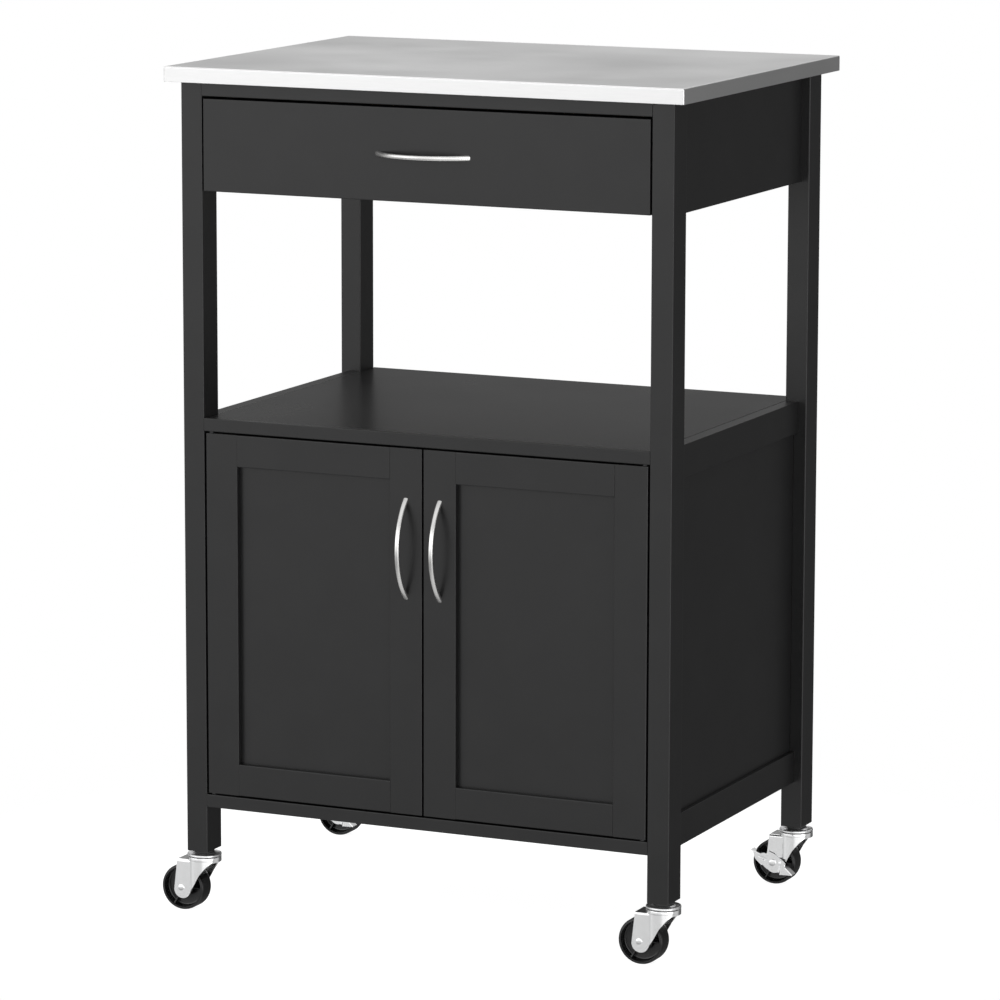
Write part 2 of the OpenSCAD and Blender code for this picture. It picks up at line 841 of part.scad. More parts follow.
module door_left_stiles() { in_frame() color(paint) left_stiles(); }
module door_left_rails() { in_frame() color(paint) left_rails(); }
module door_left_panel() { in_frame() color(paint) left_door_panel(); }
module door_left_pull() { in_frame() color(nickel) left_pull(); }
module door_left_fittings() { in_frame() color(zinc) left_fittings(); }
module door_right_stiles() { in_frame() color(paint) mirror([1, 0, 0]) left_stiles(); }
module door_right_rails() { in_frame() color(paint) mirror([1, 0, 0]) left_rails(); }
module door_right_panel() { in_frame() color(paint) mirror([1, 0, 0]) left_door_panel(); }
module door_right_pull() { in_frame() color(nickel) mirror([1, 0, 0]) left_pull(); }
module door_right_fittings() { in_frame() color(zinc) mirror([1, 0, 0]) left_fittings(); }

// hinge plates let into the front rails, each with its pin, collar and screws
module hinge_plates() {
    collar_h = door_gap - 0.1;
    top_z = shelf_z - front_rail_h;
    in_frame() color(zinc) both_sides() {
        leaf(top_z, 0);
        pin_z(hinge_x, hinge_in, door_z1 - pin_in_door + 1, top_z + leaf_t, hinge_pin_r);
        pin_z(hinge_x, hinge_in, top_z - collar_h, top_z, 2 * hinge_pin_r);
        leaf(base_z - leaf_t, 0);
        pin_z(hinge_x, hinge_in, base_z - leaf_t, door_z0 + pin_in_door - 1, hinge_pin_r);
        pin_z(hinge_x, hinge_in, base_z, base_z + collar_h, 2 * hinge_pin_r);
        for (k = leaf_screws) {
            x = hinge_x + k * leaf_l;
            pin_z(x, hinge_in, top_z + 0.2, top_z + leaf_t + screw_in_rail, leaf_screw_r);
            pin_z(x, hinge_in, base_z - leaf_t - screw_in_rail, base_z - 0.2, leaf_screw_r);
        }
    }
}

module door_catch() {
    y0 = door_t + strike_t + catch_gap;
    in_frame() color(black_plastic)
        block(-catch_w / 2, catch_w / 2, y0, y0 + catch_d,
            shelf_z - front_rail_h - catch_h, shelf_z - front_rail_h);
}

// ---------- casters ----------

// puts a caster piece under its leg
module at_stem(side, row) {
    in_frame() translate([stem_x(side), stem_y(row), leg_bottom]) children();
}

module each_stem() {
    for (side = [-1, 1], row = [0, 1]) at_stem(side, row) children();
}

module caster_sockets() {
    color(black_plastic) each_stem() difference() {
        union() {
            translate([0, 0, -socket_flange_h])
                cylinder(r = socket_flange_r, h = socket_flange_h);
            cylinder(r = socket_r, h = stem_l + 1);
        }
        translate([0, 0, -socket_flange_h - 1])
            cylinder(r = stem_r + fix_fit, h = stem_l + socket_flange_h + 3);
    }
}

// stem, upper race and the riveted kingpin below it, turned as one piece
module caster_stems() {
    kingpin_r = stem_r - 0.5;
    race_z = -socket_flange_h;
    color(zinc) each_stem() rotate_extrude() polygon([
        [0, stem_l], [stem_r - 1, stem_l], [stem_r, stem_l - 1],
        [stem_r, race_z], [socket_flange_r + 0.6, race_z],
        [socket_flange_r + 2, race_z - 1.4], [race_r - 2.4, race_z - 1.6],
        [race_r - 1, race_z - 1.3], [race_r - 0.3, race_z - 1.6],
        [race_r, race_z - 2.3], [race_r, race_rim_z],
        [race_r - 1.3, race_rim_z], [race_r - 1.4, race_z - 2.8],
        [socket_flange_r + 1.4, race_z - 2.7], [socket_flange_r - 0.2, race_z - 1.6],
        [kingpin_r, race_z - 1.6],
        [kingpin_r, plate_under - 0.15], [kingpin_r + 2.5, plate_under - 0.15],
        [kingpin_r + 2.2, plate_under - 1.6], [kingpin_r, plate_under - 2.4],
        [0, plate_under - 2.4]]);
}

// plan of the fork's skin at a given half width and head radius, open at the rear
module fork_plan(half, r, back_x) {
    circle(r = r, $fn = 64);
    translate([back_x, -half]) square([-back_x, 2 * half]);
}

// side view of a fork cheek, in X and Z
module cheek_profile() {
    translate(fork_end) circle(r = fork_end_r);
    polygon([
        [fork_back_x, plate_z], [fork_end[0] - fork_end_r, fork_end[1] + 1],
        fork_end, [fork_end[0] + 0.80 * fork_end_r, fork_end[1] - 0.60 * fork_end_r],
        [0.42 * fork_head_r, plate_z - 2.75 * skirt_h],
        [0.67 * fork_head_r, plate_z - 1.6 * skirt_h],
        [1.01 * fork_head_r, plate_z - skirt_h], [1.01 * fork_head_r, plate_z]]);
}

module fork(braked) {
    kingpin_r = stem_r - 0.5;
    difference() {
        union() {
            intersection() {
                translate([0, 0, axle_z - wheel_r]) linear_extrude(plate_z - axle_z + wheel_r)
                    difference() {
                        fork_plan(fork_half, fork_head_r, fork_back_x - 8);
                        fork_plan(fork_gap, fork_head_r - fork_t, fork_back_x - 9);
                    }
                rotate([90, 0, 0]) linear_extrude(4 * fork_half, center = true)
                    cheek_profile();
            }
            translate([0, 0, plate_under]) linear_extrude(fork_t)
                fork_plan(fork_half, fork_head_r, fork_back_x);
            translate([0, 0, plate_z - 0.1]) difference() {
                cylinder(r = fork_head_r, h = dish_top_z - plate_z + 0.1, $fn = 64);
                translate([0, 0, -1]) cylinder(r = fork_head_r - fork_t, h = 8, $fn = 64);
            }
        }
        translate([0, 0, plate_under - 1]) cylinder(r = kingpin_r + run_fit, h = fork_t + 2);
        translate([-trail, 0, axle_z]) rotate([90, 0, 0])
            cylinder(r = axle_r + fix_fit, h = 6 * fork_half, center = true);
    }
    axle_rivet(braked);
}

// axle rivet with a domed head at each side; the front head also holds the brake lever
module axle_rivet(braked) {
    front = fork_half + 0.05 + (braked ? lever_t + 0.5 : 0);
    back = fork_half + 0.05;
    front_r = braked ? head_r : plain_head_r;
    translate([-trail, 0, axle_z]) rotate([90, 0, 0]) rotate_extrude() polygon([
        [0, -back - head_h], [plain_head_r * 0.5, -back - head_h],
        [plain_head_r * 0.85, -back - head_h * 0.6], [plain_head_r, -back],
        [axle_r, -back], [axle_r, front], [front_r, front],
        [front_r * 0.85, front + head_h * 0.6], [front_r * 0.5, front + head_h],
        [0, front + head_h]]);
}

module fork_front_left() { color(zinc) at_stem(-1, 0) fork(false); }
module fork_front_right() { color(zinc) at_stem(1, 0) fork(false); }
module fork_rear_left() { color(zinc) at_stem(-1, 1) fork(true); }
module fork_rear_right() { color(zinc) at_stem(1, 1) fork(true); }

// moulded wheel: tyre ring, recessed web, hub and radial ribs
module wheel() {
    half = wheel_w / 2;
    ring_in = wheel_r - 4;
    web = 2.2;
    hub_r = 7;
    hub_half = half + 0.5;
    soft = 1.2;
    translate([-trail, 0, axle_z]) rotate([90, 0, 0]) difference() {
        union() {
            rotate_extrude($fn = 96) polygon([
                [0, -hub_half], [hub_r, -hub_half], [hub_r, -web], [ring_in, -web],
                [ring_in + 0.6, -half], [wheel_r - soft, -half], [wheel_r, -half + soft],
                [wheel_r, half - soft], [wheel_r - soft, half], [ring_in + 0.6, half],
                [ring_in, web], [hub_r, web], [hub_r, hub_half], [0, hub_half]]);
            for (i = [0 : rib_count - 1]) rotate([0, 0, 360 / rib_count * i])
                translate([hub_r - 1, -0.7, -half + 2.5])
                    cube([ring_in - hub_r + 1.5, 1.4, wheel_w - 5]);
        }
        cylinder(r = axle_r + run_fit, h = 4 * half, center = true);
    }
}

module wheel_front_left() { color(black_plastic) at_stem(-1, 0) wheel(); }
module wheel_front_right() { color(black_plastic) at_stem(1, 0) wheel(); }
module wheel_rear_left() { color(black_plastic) at_stem(-1, 1) wheel(); }
module wheel_rear_right() { color(black_plastic) at_stem(1, 1) wheel(); }

// brake lever outline about its rivet, in X and Z
lever_outline = [
    [-23.5, 10.1], [-22.8, 15.6], [-13.8, 10], [-10.3, 10.7], [-8, 9.7], [-5.3, 13.1],
    [1.2, 10.8], [7.6, 6.4], [13.6, 5.6], [15.2, 4.6], [18, 1.6], [29.5, -8],
    [25.1, -11.1], [9, -11.6], [1.4, -9.9], [-6.7, -7.9], [-10, -5.5], [-12, -3.4],
    [-13.6, -4], [-18.1, -0.2], [-21.4, 3], [-22.7, 6.7]];

// plan of the lever's plate, which steps out to pass the fork's round head
module lever_plan() {
    y0 = lever_y;
    y1 = lever_y - lever_step;
    reach = 2 * wheel_r;
    bend1 = lever_bend + lever_step;
    miter = 0.42 * lever_t;
    polygon([[-reach, y0], [lever_bend, y0], [bend1, y1], [reach, y1],
        [reach, y1 - lever_t], [bend1 - miter, y1 - lever_t],
        [lever_bend - miter, y0 - lever_t], [-reach, y0 - lever_t]]);
}

// stamped lever about its rivet, with a foot flange at each end
module lever_stamping() {
    difference() {
        union() {
            intersection() {
                rotate([0, lever_tilt, 0]) linear_extrude(4 * wheel_r, center = true)
                    lever_plan();
                rotate([90, 0, 0]) linear_extrude(2 * fork_head_r) polygon(lever_outline);
            }
            lever_foot(lever_outline[1], lever_outline[2], 0,
                [[0, lever_flange], [1, 0.4 * lever_flange]]);
            lever_foot(lever_outline[10], lever_outline[11], lever_step,
                [[0, 0.3 * lever_flange], [0.2, 0.9 * lever_flange], [1, lever_flange]]);
        }
        rotate([90, 0, 0]) cylinder(r = axle_r + run_fit, h = 6 * fork_half, center = true);
    }
}

module brake_lever() {
    translate([-trail, 0, axle_z]) lever_stamping();
}

// flange along the edge from a to b, with its widths at shares of the edge's length
module lever_foot(a, b, step, widths) {
    run = norm(b - a) - 2 * foot_inset;
    angle = atan2(b[1] - a[1], b[0] - a[0]);
    translate([a[0], lever_y - step, a[1]]) rotate([0, -angle, 0])
        translate([foot_inset, 0, -lever_t - 0.1]) linear_extrude(lever_t)
            polygon(concat([[0, 0]], [for (w = widths) [w[0] * run, -w[1]]], [[run, 0]]));
}

module brake_lever_left() { color(zinc) at_stem(-1, 1) brake_lever(); }
module brake_lever_right() { color(zinc) at_stem(1, 1) brake_lever(); }

// ---------- the nodes ----------

leg_front_left();
leg_front_right();
leg_rear_left();
leg_rear_right();
worktop_board();
worktop_sheet();
top_front_rail();
apron_left();
apron_right();
apron_rear();
shelf_panel();
shelf_front_rail();
side_rails_left();
side_rails_right();
rear_rails();
side_panel_left();
side_panel_right();
back_panel();
base_panel();
base_front_rail();
panel_cleats();
worktop_brackets();
frame_screws();
inner_shelf();
shelf_pins();
drawer_runners_fixed();
hinge_plates();
door_catch();
caster_sockets();
caster_stems();
drawer_front();
drawer_sides();
drawer_back();
drawer_bottom();
drawer_pull();
drawer_pull_screws();
drawer_runners_moving();
runner_ball_cages();
door_left_stiles();
door_left_rails();
door_left_panel();
door_left_pull();
door_left_fittings();
door_right_stiles();
door_right_rails();
door_right_panel();
door_right_pull();
door_right_fittings();
fork_front_left();
fork_front_right();
fork_rear_left();
fork_rear_right();
wheel_front_left();
wheel_front_right();
wheel_rear_left();
wheel_rear_right();
brake_lever_left();
brake_lever_right();
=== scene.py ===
"""Looks of the microwave cart: finishes, detailed pieces, studio and camera.

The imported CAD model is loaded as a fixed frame. The boards, the worktop's steel sheet
and the hidden fittings keep their CAD shape and get their finish here. The pulls, forks,
wheels, brake levers and stems are rebuilt as finer surfaces computed with numpy, each in
the place of its CAD node. Units are metres in the row's frame: X to the right, Y to the
back, Z up from the floor. Surfaces are computed in cart millimetres, about ORIGIN.
"""

import logging
import math
from dataclasses import dataclass, replace
from enum import Enum
from typing import Callable, Sequence

import bmesh
import bpy
import numpy as np
from mathutils import Matrix, Vector


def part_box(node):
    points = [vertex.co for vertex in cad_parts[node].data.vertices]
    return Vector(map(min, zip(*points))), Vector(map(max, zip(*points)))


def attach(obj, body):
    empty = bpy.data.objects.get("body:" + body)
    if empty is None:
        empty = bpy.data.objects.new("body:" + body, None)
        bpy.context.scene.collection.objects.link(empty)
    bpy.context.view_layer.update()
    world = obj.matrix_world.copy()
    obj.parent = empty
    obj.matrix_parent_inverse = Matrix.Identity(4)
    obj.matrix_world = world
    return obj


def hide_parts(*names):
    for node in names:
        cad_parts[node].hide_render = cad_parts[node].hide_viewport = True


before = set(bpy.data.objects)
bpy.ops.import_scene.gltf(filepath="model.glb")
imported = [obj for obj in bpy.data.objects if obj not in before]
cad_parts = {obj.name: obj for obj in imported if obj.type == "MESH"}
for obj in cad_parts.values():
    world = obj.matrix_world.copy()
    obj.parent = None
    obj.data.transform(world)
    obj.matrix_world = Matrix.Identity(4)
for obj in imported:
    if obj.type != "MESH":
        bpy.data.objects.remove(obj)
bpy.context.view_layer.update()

log = logging.getLogger("cart")
MM = 0.001
WHITE = (1.0, 1.0, 1.0, 1.0)
Socket = bpy.types.NodeSocket
Feed = Socket | float | Sequence[float]  # a socket to link from, or a plain value


# the cart's own zero, in the row's frame: mid width, front face of the legs, floor
ORIGIN = np.array([0.01025, -0.2062, 0.0])


# ------------------------------ nodes


class Graph:
    """Builds one shader node tree, a node at a time."""

    def __init__(self, tree: bpy.types.NodeTree) -> None:
        self.tree = tree
        self.tree.nodes.clear()

    def node(self, kind: str, settings: dict | None = None,
             inputs: dict | None = None) -> bpy.types.Node:
        """Adds a node.

        Args:
            kind: Blender's type name of the node.
            settings: properties to set on it.
            inputs: socket name or index, with a value or a socket to link from.

        Returns:
            The new node.
        """
        made = self.tree.nodes.new(kind)
        for name, value in (settings or {}).items():
            setattr(made, name, value)
        for name, value in (inputs or {}).items():
            if isinstance(value, Socket):
                self.tree.links.new(value, made.inputs[name])
            else:
                made.inputs[name].default_value = value
        return made

    def group(self, tree: bpy.types.NodeTree, **inputs) -> Sequence[Socket]:
        """Adds a shared effect and gives its outputs."""
        return self.node("ShaderNodeGroup", {"node_tree": tree}, inputs).outputs

    def math(self, operation: str, a: Feed, b: Feed) -> Socket:
        """Adds a math node and gives its result."""
        return self.node("ShaderNodeMath", {"operation": operation}, {0: a, 1: b}).outputs[0]

    def times(self, value: Feed, factor: Feed) -> Socket:
        """Multiplies two values."""
        return self.math("MULTIPLY", value, factor)

    def vector(self, operation: str, a: Feed, b: Feed = (0.0, 0.0, 0.0),
               gives: int | str = 0) -> Socket:
        """Adds a vector math node and gives one of its results."""
        return self.node("ShaderNodeVectorMath", {"operation": operation},
                         {0: a, 1: b}).outputs[gives]

    def noise(self, place: Feed, scale: Feed, detail: float, rough: float = 0.5) -> Socket:
        """Adds a noise texture and gives its value."""
        return self.node("ShaderNodeTexNoise", None,
                         {"Vector": place, "Scale": scale, "Detail": detail,
                          "Roughness": rough}).outputs[0]

    def ramp(self, value: Feed, low: float, high: float, to_low: float = 0.0,
             to_high: float = 1.0, curve: str = "LINEAR") -> Socket:
        """Maps a value from one range to another, clamped.

        Args:
            value: the socket to map.
            low: where the range starts.
            high: where it ends.
            to_low: the result at low.
            to_high: the result at high.
            curve: LINEAR, or SMOOTHSTEP for soft ends.

        Returns:
            The result's socket.
        """
        return self.node("ShaderNodeMapRange", {"interpolation_type": curve},
                         {"Value": value, "From Min": low, "From Max": high,
                          "To Min": to_low, "To Max": to_high}).outputs[0]

    def mix(self, factor: Feed, a: Feed, b: Feed) -> Socket:
        """Mixes two colours."""
        return self.node("ShaderNodeMix", {"data_type": "RGBA"},
                         {0: factor, 6: a, 7: b}).outputs[2]

    def film(self, mask: Feed, share: float, below: Feed, colour: Sequence[float]) -> Socket:
        """Lays a share of a colour over another where a mask is."""
        return self.mix(self.times(mask, share), below, (*colour, 1))


FLOAT, VECTOR = "NodeSocketFloat", "NodeSocketVector"
Build = Callable[[Graph, Sequence[Socket]], Sequence[Socket]]


def effect(takes: dict[str, object], gives: Sequence[str]
           ) -> Callable[[Build], bpy.types.NodeTree]:
    """Makes a shared node group out of the function that it decorates.

    The function takes the group's inputs and gives the sockets for its outputs. An
    input is a vector unless its default is a float. An output is a float unless it is
    named Normal.

    Args:
        takes: the inputs' names and defaults.
        gives: the outputs' names.

    Returns:
        The decorator, which gives the group.
    """
    def make(build: Build) -> bpy.types.NodeTree:
        tree = bpy.data.node_groups.new(build.__name__, "ShaderNodeTree")
        graph = Graph(tree)
        for name, default in takes.items():
            kind = FLOAT if isinstance(default, float) else VECTOR
            socket = tree.interface.new_socket(name=name, in_out="INPUT", socket_type=kind)
            if default is not None:
                socket.default_value = default
        for name in gives:
            kind = VECTOR if name == "Normal" else FLOAT
            tree.interface.new_socket(name=name, in_out="OUTPUT", socket_type=kind)
        sockets = build(graph, graph.node("NodeGroupInput").outputs)
        graph.node("NodeGroupOutput", None, dict(enumerate(sockets)))
        return tree
    return make


@effect({"Radius": 0.0008, "Vector": None, "Patch": 60.0}, ("Mask", "Edge", "Normal"))
def edge_wear(g: Graph, given: Sequence[Socket]) -> Sequence[Socket]:
    """Rounded normal, a mask of the edges, and the same broken up into patches; lacquer
    lightens its colour there, partly as rubbed edges and partly as a painted edge highlight.
    """
    bevel = g.node("ShaderNodeBevel", {"samples": 4}, {"Radius": given["Radius"]}).outputs[0]
    plain = g.node("ShaderNodeNewGeometry").outputs["Normal"]
    edge = g.ramp(g.vector("DOT_PRODUCT", bevel, plain, "Value"), 0.995, 0.86)
    patches = g.noise(given["Vector"], given["Patch"], 4.0, 0.62)
    return g.times(edge, g.ramp(patches, 0.42, 0.66)), edge, bevel


@effect({"Vector": None, "Grain": (40.0, 900.0, 900.0)}, ("Height", "Gloss", "Tone"))
def sprayed_lacquer(g: Graph, given: Sequence[Socket]) -> Sequence[Socket]:
    """Orange peel with a faint fibre below it, and slow changes of gloss and tone."""
    place = given["Vector"]
    fibre = g.noise(g.vector("MULTIPLY", place, given["Grain"]), 1.0, 3.0, 0.6)
    peel = g.noise(place, 420.0, 1.5, 0.45)
    height = g.math("ADD", g.times(fibre, 0.45), g.times(peel, 0.7))
    return (height, g.ramp(g.noise(place, 7.0, 3.0, 0.6), 0.3, 0.7),
            g.ramp(g.noise(place, 23.0, 4.0, 0.6), 0.3, 0.7))


@effect({"Vector": None, "Along": (6.0, 1400.0, 1400.0)}, ("Height", "Streak", "Cloud"))
def brushing(g: Graph, given: Sequence[Socket]) -> Sequence[Socket]:
    """Long fine scratches along one axis, at two lengths, with soft clouds."""
    along = g.vector("MULTIPLY", given["Vector"], given["Along"])
    fine = g.noise(along, 1.0, 2.0, 0.7)
    long = g.noise(g.vector("MULTIPLY", along, (0.25, 0.3, 0.3)), 1.0, 2.0)
    both = g.math("ADD", g.times(fine, 0.65), g.times(long, 0.5))
    cloud = g.noise(given["Vector"], 5.0, 3.0, 0.55)
    return both, g.ramp(both, 0.35, 0.8), g.ramp(cloud, 0.3, 0.7)


@effect({"Vector": None}, ("Height", "Tone", "Dull"))
def zinc_skin(g: Graph, given: Sequence[Socket]) -> Sequence[Socket]:
    """Rolled sheet below bright plating, with small dull clouds."""
    place = given["Vector"]
    rolled = g.noise(g.vector("MULTIPLY", place, (300.0, 2200.0, 700.0)), 1.0, 2.0)
    cloud = g.noise(place, 140.0, 4.0, 0.6)
    spots = g.noise(place, 520.0, 2.0)
    return (g.math("ADD", g.times(rolled, 0.5), spots), g.ramp(cloud, 0.3, 0.7),
            g.ramp(spots, 0.45, 0.75))


@effect({"Vector": None, "Scale": 900.0}, ("Height", "Gloss", "Dust"))
def moulded_plastic(g: Graph, given: Sequence[Socket]) -> Sequence[Socket]:
    """Fine mould texture, flow clouds and a little dust."""
    place = given["Vector"]
    return (g.noise(place, given["Scale"], 2.0), g.ramp(g.noise(place, 60.0, 3.0), 0.3, 0.7),
            g.ramp(g.noise(place, 240.0, 5.0, 0.7), 0.52, 0.75))


@effect({"Vector": None, "Grain": (6.0, 60.0, 60.0)}, ("Height", "Band", "Pore"))
def board_fibre(g: Graph, given: Sequence[Socket]) -> Sequence[Socket]:
    """Growth bands bent by a slow noise, with short dark pores."""
    along = g.vector("MULTIPLY", given["Vector"], given["Grain"])
    wave = g.node("ShaderNodeTexWave", {"bands_direction": "DIAGONAL"},
                  {"Vector": along, "Scale": 0.35, "Distortion": 6.0,
                   "Detail": 3.0, "Detail Scale": 0.8})
    band = g.math("ADD", g.times(wave.outputs[1], 0.6),
                  g.times(g.noise(along, 0.6, 3.0), 0.5))
    pores = g.noise(g.vector("MULTIPLY", along, (3.0, 14.0, 14.0)), 1.0, 2.0, 0.7)
    return g.math("ADD", band, g.times(pores, 0.6)), band, g.ramp(pores, 0.6, 0.78)


# ------------------------------ finishes


class Slot(Enum):
    """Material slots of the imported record."""

    LACQUER = "lacquer"
    WORKTOP = "worktop_steel"
    BOARD = "raw_board"
    NICKEL = "nickel"
    ZINC = "zinc"
    RUNNER = "runner_steel"
    GLOSS_PLASTIC = "black_plastic"
    MATT_PLASTIC = "socket_plastic"
    BLACK_STEEL = "black_steel"


class Grain(Enum):
    """Axis that a board's or a sheet's grain follows, as stretch factors."""

    ALONG_X = (0.06, 1.0, 1.0)
    ALONG_Y = (1.0, 0.06, 1.0)
    ALONG_Z = (1.0, 1.0, 0.06)

    def scaled(self, fine: float) -> tuple[float, ...]:
        """Gives the stretch for a cross-grain frequency of fine per metre."""
        return tuple(factor * fine for factor in self.value)


@dataclass(frozen=True)
class Finish:
    """What a finish looks like, before its procedural detail."""

    slot: Slot
    colour: tuple[float, float, float]
    second: tuple[float, float, float]
    roughness: tuple[float, float]
    metallic: float = 0.0
    bump: float = 0.1
    depth: float = 0.00005
    specular: float = 0.5

    def base(self, g: Graph, tone: Socket) -> Socket:
        """Mixes its two colours."""
        return g.mix(tone, (*self.colour, 1), (*self.second, 1))

    def rough(self, g: Graph, share: Socket) -> Socket:
        """Goes from its first roughness to its second."""
        return g.ramp(share, 0.0, 1.0, *self.roughness)


LACQUER = Finish(Slot.LACQUER, (0.0060, 0.0060, 0.0062), (0.0080, 0.0080, 0.0082),
                 (0.29, 0.34), bump=0.05, depth=0.00003, specular=0.44)
LACQUER_SHELF = replace(LACQUER, roughness=(0.24, 0.28), bump=0.03, depth=0.00002)
STEEL_TOP = Finish(Slot.WORKTOP, (0.72, 0.72, 0.72), (0.77, 0.77, 0.77),
                   (0.355, 0.385), metallic=1.0, bump=0.04, depth=0.00001)
RAW_BOARD = Finish(Slot.BOARD, (0.52, 0.38, 0.23), (0.66, 0.52, 0.35),
                   (0.55, 0.72), bump=0.25, depth=0.0001)
NICKEL = Finish(Slot.NICKEL, (0.66, 0.655, 0.645), (0.70, 0.695, 0.685),
                (0.24, 0.29), metallic=1.0, bump=0.02, depth=0.00001)
ZINC = Finish(Slot.ZINC, (0.94, 0.943, 0.946), (0.96, 0.963, 0.966),
              (0.17, 0.22), metallic=1.0, bump=0.02, depth=0.00001)
RUNNER = Finish(Slot.RUNNER, (0.60, 0.61, 0.62), (0.68, 0.69, 0.70),
                (0.26, 0.40), metallic=1.0, bump=0.05, depth=0.00003)
# The races' zinc is a rougher copy of ZINC and a darker one; the darker colour paints shade
# onto the races.
SHADED_RACE_ZINC = replace(ZINC, colour=(0.78, 0.783, 0.786), second=(0.82, 0.823, 0.826),
                    roughness=(0.32, 0.38))
WHEEL_BLACK = Finish(Slot.GLOSS_PLASTIC, (0.004, 0.004, 0.0043), (0.007, 0.007, 0.0073),
                     (0.15, 0.21), bump=0.04, depth=0.00003, specular=0.48)
# Black plastic of the sockets and the door catch; on the sockets this black also paints the
# shade that falls below the legs.
SOCKET_BLACK = Finish(Slot.MATT_PLASTIC, (0.008, 0.008, 0.0085), (0.014, 0.014, 0.0145),
                      (0.40, 0.52), bump=0.12, depth=0.00004)
BLACK_STEEL = Finish(Slot.BLACK_STEEL, (0.016, 0.016, 0.017), (0.024, 0.024, 0.025),
                     (0.34, 0.44), metallic=0.3, bump=0.10, depth=0.00003)


Surface = tuple[Socket, Socket, Socket, Socket | None]


def lacquered(g: Graph, finish: Finish, grain: Grain, place: Socket) -> Surface:
    """Gives the colour, roughness, height and normal of sprayed boards, with edges lightened
    in colour.
    """
    skin = g.group(sprayed_lacquer, Vector=place, Grain=grain.scaled(900.0))
    worn_and_lit = g.group(edge_wear, Vector=place, Radius=0.0007, Patch=55.0)
    # Painted highlight: the edges' colour is lightened where the patchy mask is, partly rubbed
    # lacquer and partly the light that rounded edges catch.
    colour = g.film(worn_and_lit["Mask"], 0.4, finish.base(g, skin["Tone"]), (0.045, 0.044, 0.042))
    rough = g.math("SUBTRACT", finish.rough(g, skin["Gloss"]), g.times(worn_and_lit["Edge"], 0.06))
    return colour, rough, skin["Height"], worn_and_lit["Normal"]


def brushed(g: Graph, finish: Finish, grain: Grain, place: Socket) -> Surface:
    """Gives the same of brushed metal: the streaks are lighter and smoother."""
    lines = g.group(brushing, Vector=place, Along=grain.scaled(1500.0))
    worn_and_lit = g.group(edge_wear, Vector=place, Radius=0.0005, Patch=90.0)
    tone = g.math("ADD", g.times(lines["Streak"], 0.7), g.times(lines["Cloud"], 0.3))
    rough = g.math("ADD", g.ramp(lines["Streak"], 0.0, 1.0, *finish.roughness[::-1]),
                   g.ramp(lines["Cloud"], 0.0, 1.0, -0.03, 0.03))
    return finish.base(g, tone), rough, lines["Height"], worn_and_lit["Normal"]


def plated(g: Graph, finish: Finish, grain: Grain, place: Socket) -> Surface:
    """Gives the same of zinc and runner steel, with no rounded normal and no grain."""
    skin = g.group(zinc_skin, Vector=place)
    colour = g.film(skin["Dull"], 0.10, finish.base(g, skin["Tone"]), (0.58, 0.59, 0.61))
    rough = g.math("ADD", finish.rough(g, skin["Tone"]), g.times(skin["Dull"], 0.04))
    return colour, rough, skin["Height"], None


def moulded(g: Graph, finish: Finish, grain: Grain, place: Socket) -> Surface:
    """Gives the same of plastic and of black steel, which have no grain."""
    skin = g.group(moulded_plastic, Vector=place, Scale=1100.0)
    worn_and_lit = g.group(edge_wear, Vector=place, Radius=0.0004, Patch=200.0)
    colour = g.film(skin["Dust"], 0.12, finish.base(g, skin["Gloss"]), (0.030, 0.030, 0.029))
    rough = g.math("ADD", finish.rough(g, skin["Gloss"]), g.times(skin["Dust"], 0.08))
    return colour, rough, skin["Height"], worn_and_lit["Normal"]


def sawn(g: Graph, finish: Finish, grain: Grain, place: Socket) -> Surface:
    """Gives the same of raw board with dark pores."""
    fibre = g.group(board_fibre, Vector=place, Grain=grain.scaled(90.0))
    worn_and_lit = g.group(edge_wear, Vector=place, Radius=0.0005, Patch=70.0)
    colour = g.film(fibre["Pore"], 0.5, finish.base(g, fibre["Band"]), (0.30, 0.20, 0.11))
    return colour, finish.rough(g, fibre["Band"]), fibre["Height"], worn_and_lit["Normal"]


RECIPES = {Slot.LACQUER: lacquered, Slot.WORKTOP: brushed, Slot.NICKEL: brushed,
           Slot.RUNNER: plated, Slot.ZINC: plated, Slot.BOARD: sawn,
           Slot.GLOSS_PLASTIC: moulded, Slot.MATT_PLASTIC: moulded,
           Slot.BLACK_STEEL: moulded}


class Palette:
    """Makes each material once and hands it out."""

    def __init__(self) -> None:
        self.made: dict[tuple, bpy.types.Material] = {}

    def get(self, finish: Finish, grain: Grain = Grain.ALONG_X) -> bpy.types.Material:
        """Gives the material of a finish whose grain follows an axis.

        Args:
            finish: the finish.
            grain: the axis its grain or brushing follows.

        Returns:
            The material.
        """
        key = (finish, grain)
        if key not in self.made:
            self.made[key] = self._build(finish, grain)
        return self.made[key]

    def _build(self, finish: Finish, grain: Grain) -> bpy.types.Material:
        """Makes the material by the recipe of the finish's slot."""
        name = f"{finish.slot.value}_{grain.name.lower()}_{len(self.made)}"
        material = bpy.data.materials.new(name)
        material.use_nodes = True
        g = Graph(material.node_tree)
        place = g.node("ShaderNodeTexCoord").outputs["Object"]
        colour, rough, height, normal = RECIPES[finish.slot](g, finish, grain, place)
        surface = {"Strength": finish.bump, "Distance": finish.depth, "Height": height}
        if normal is not None:
            surface["Normal"] = normal
        bump = g.node("ShaderNodeBump", None, surface)
        shader = g.node("ShaderNodeBsdfPrincipled", None, {
            "Base Color": colour, "Roughness": rough, "Metallic": finish.metallic,
            "Specular IOR Level": finish.specular, "Normal": bump.outputs[0]})
        g.node("ShaderNodeOutputMaterial", None, {0: shader.outputs[0]})
        return material


# ------------------------------ surfaces


WELD = 1e-6      # metres: points that are closer become one
SHORTEST = 1e-7  # metres: shorter edges are dissolved


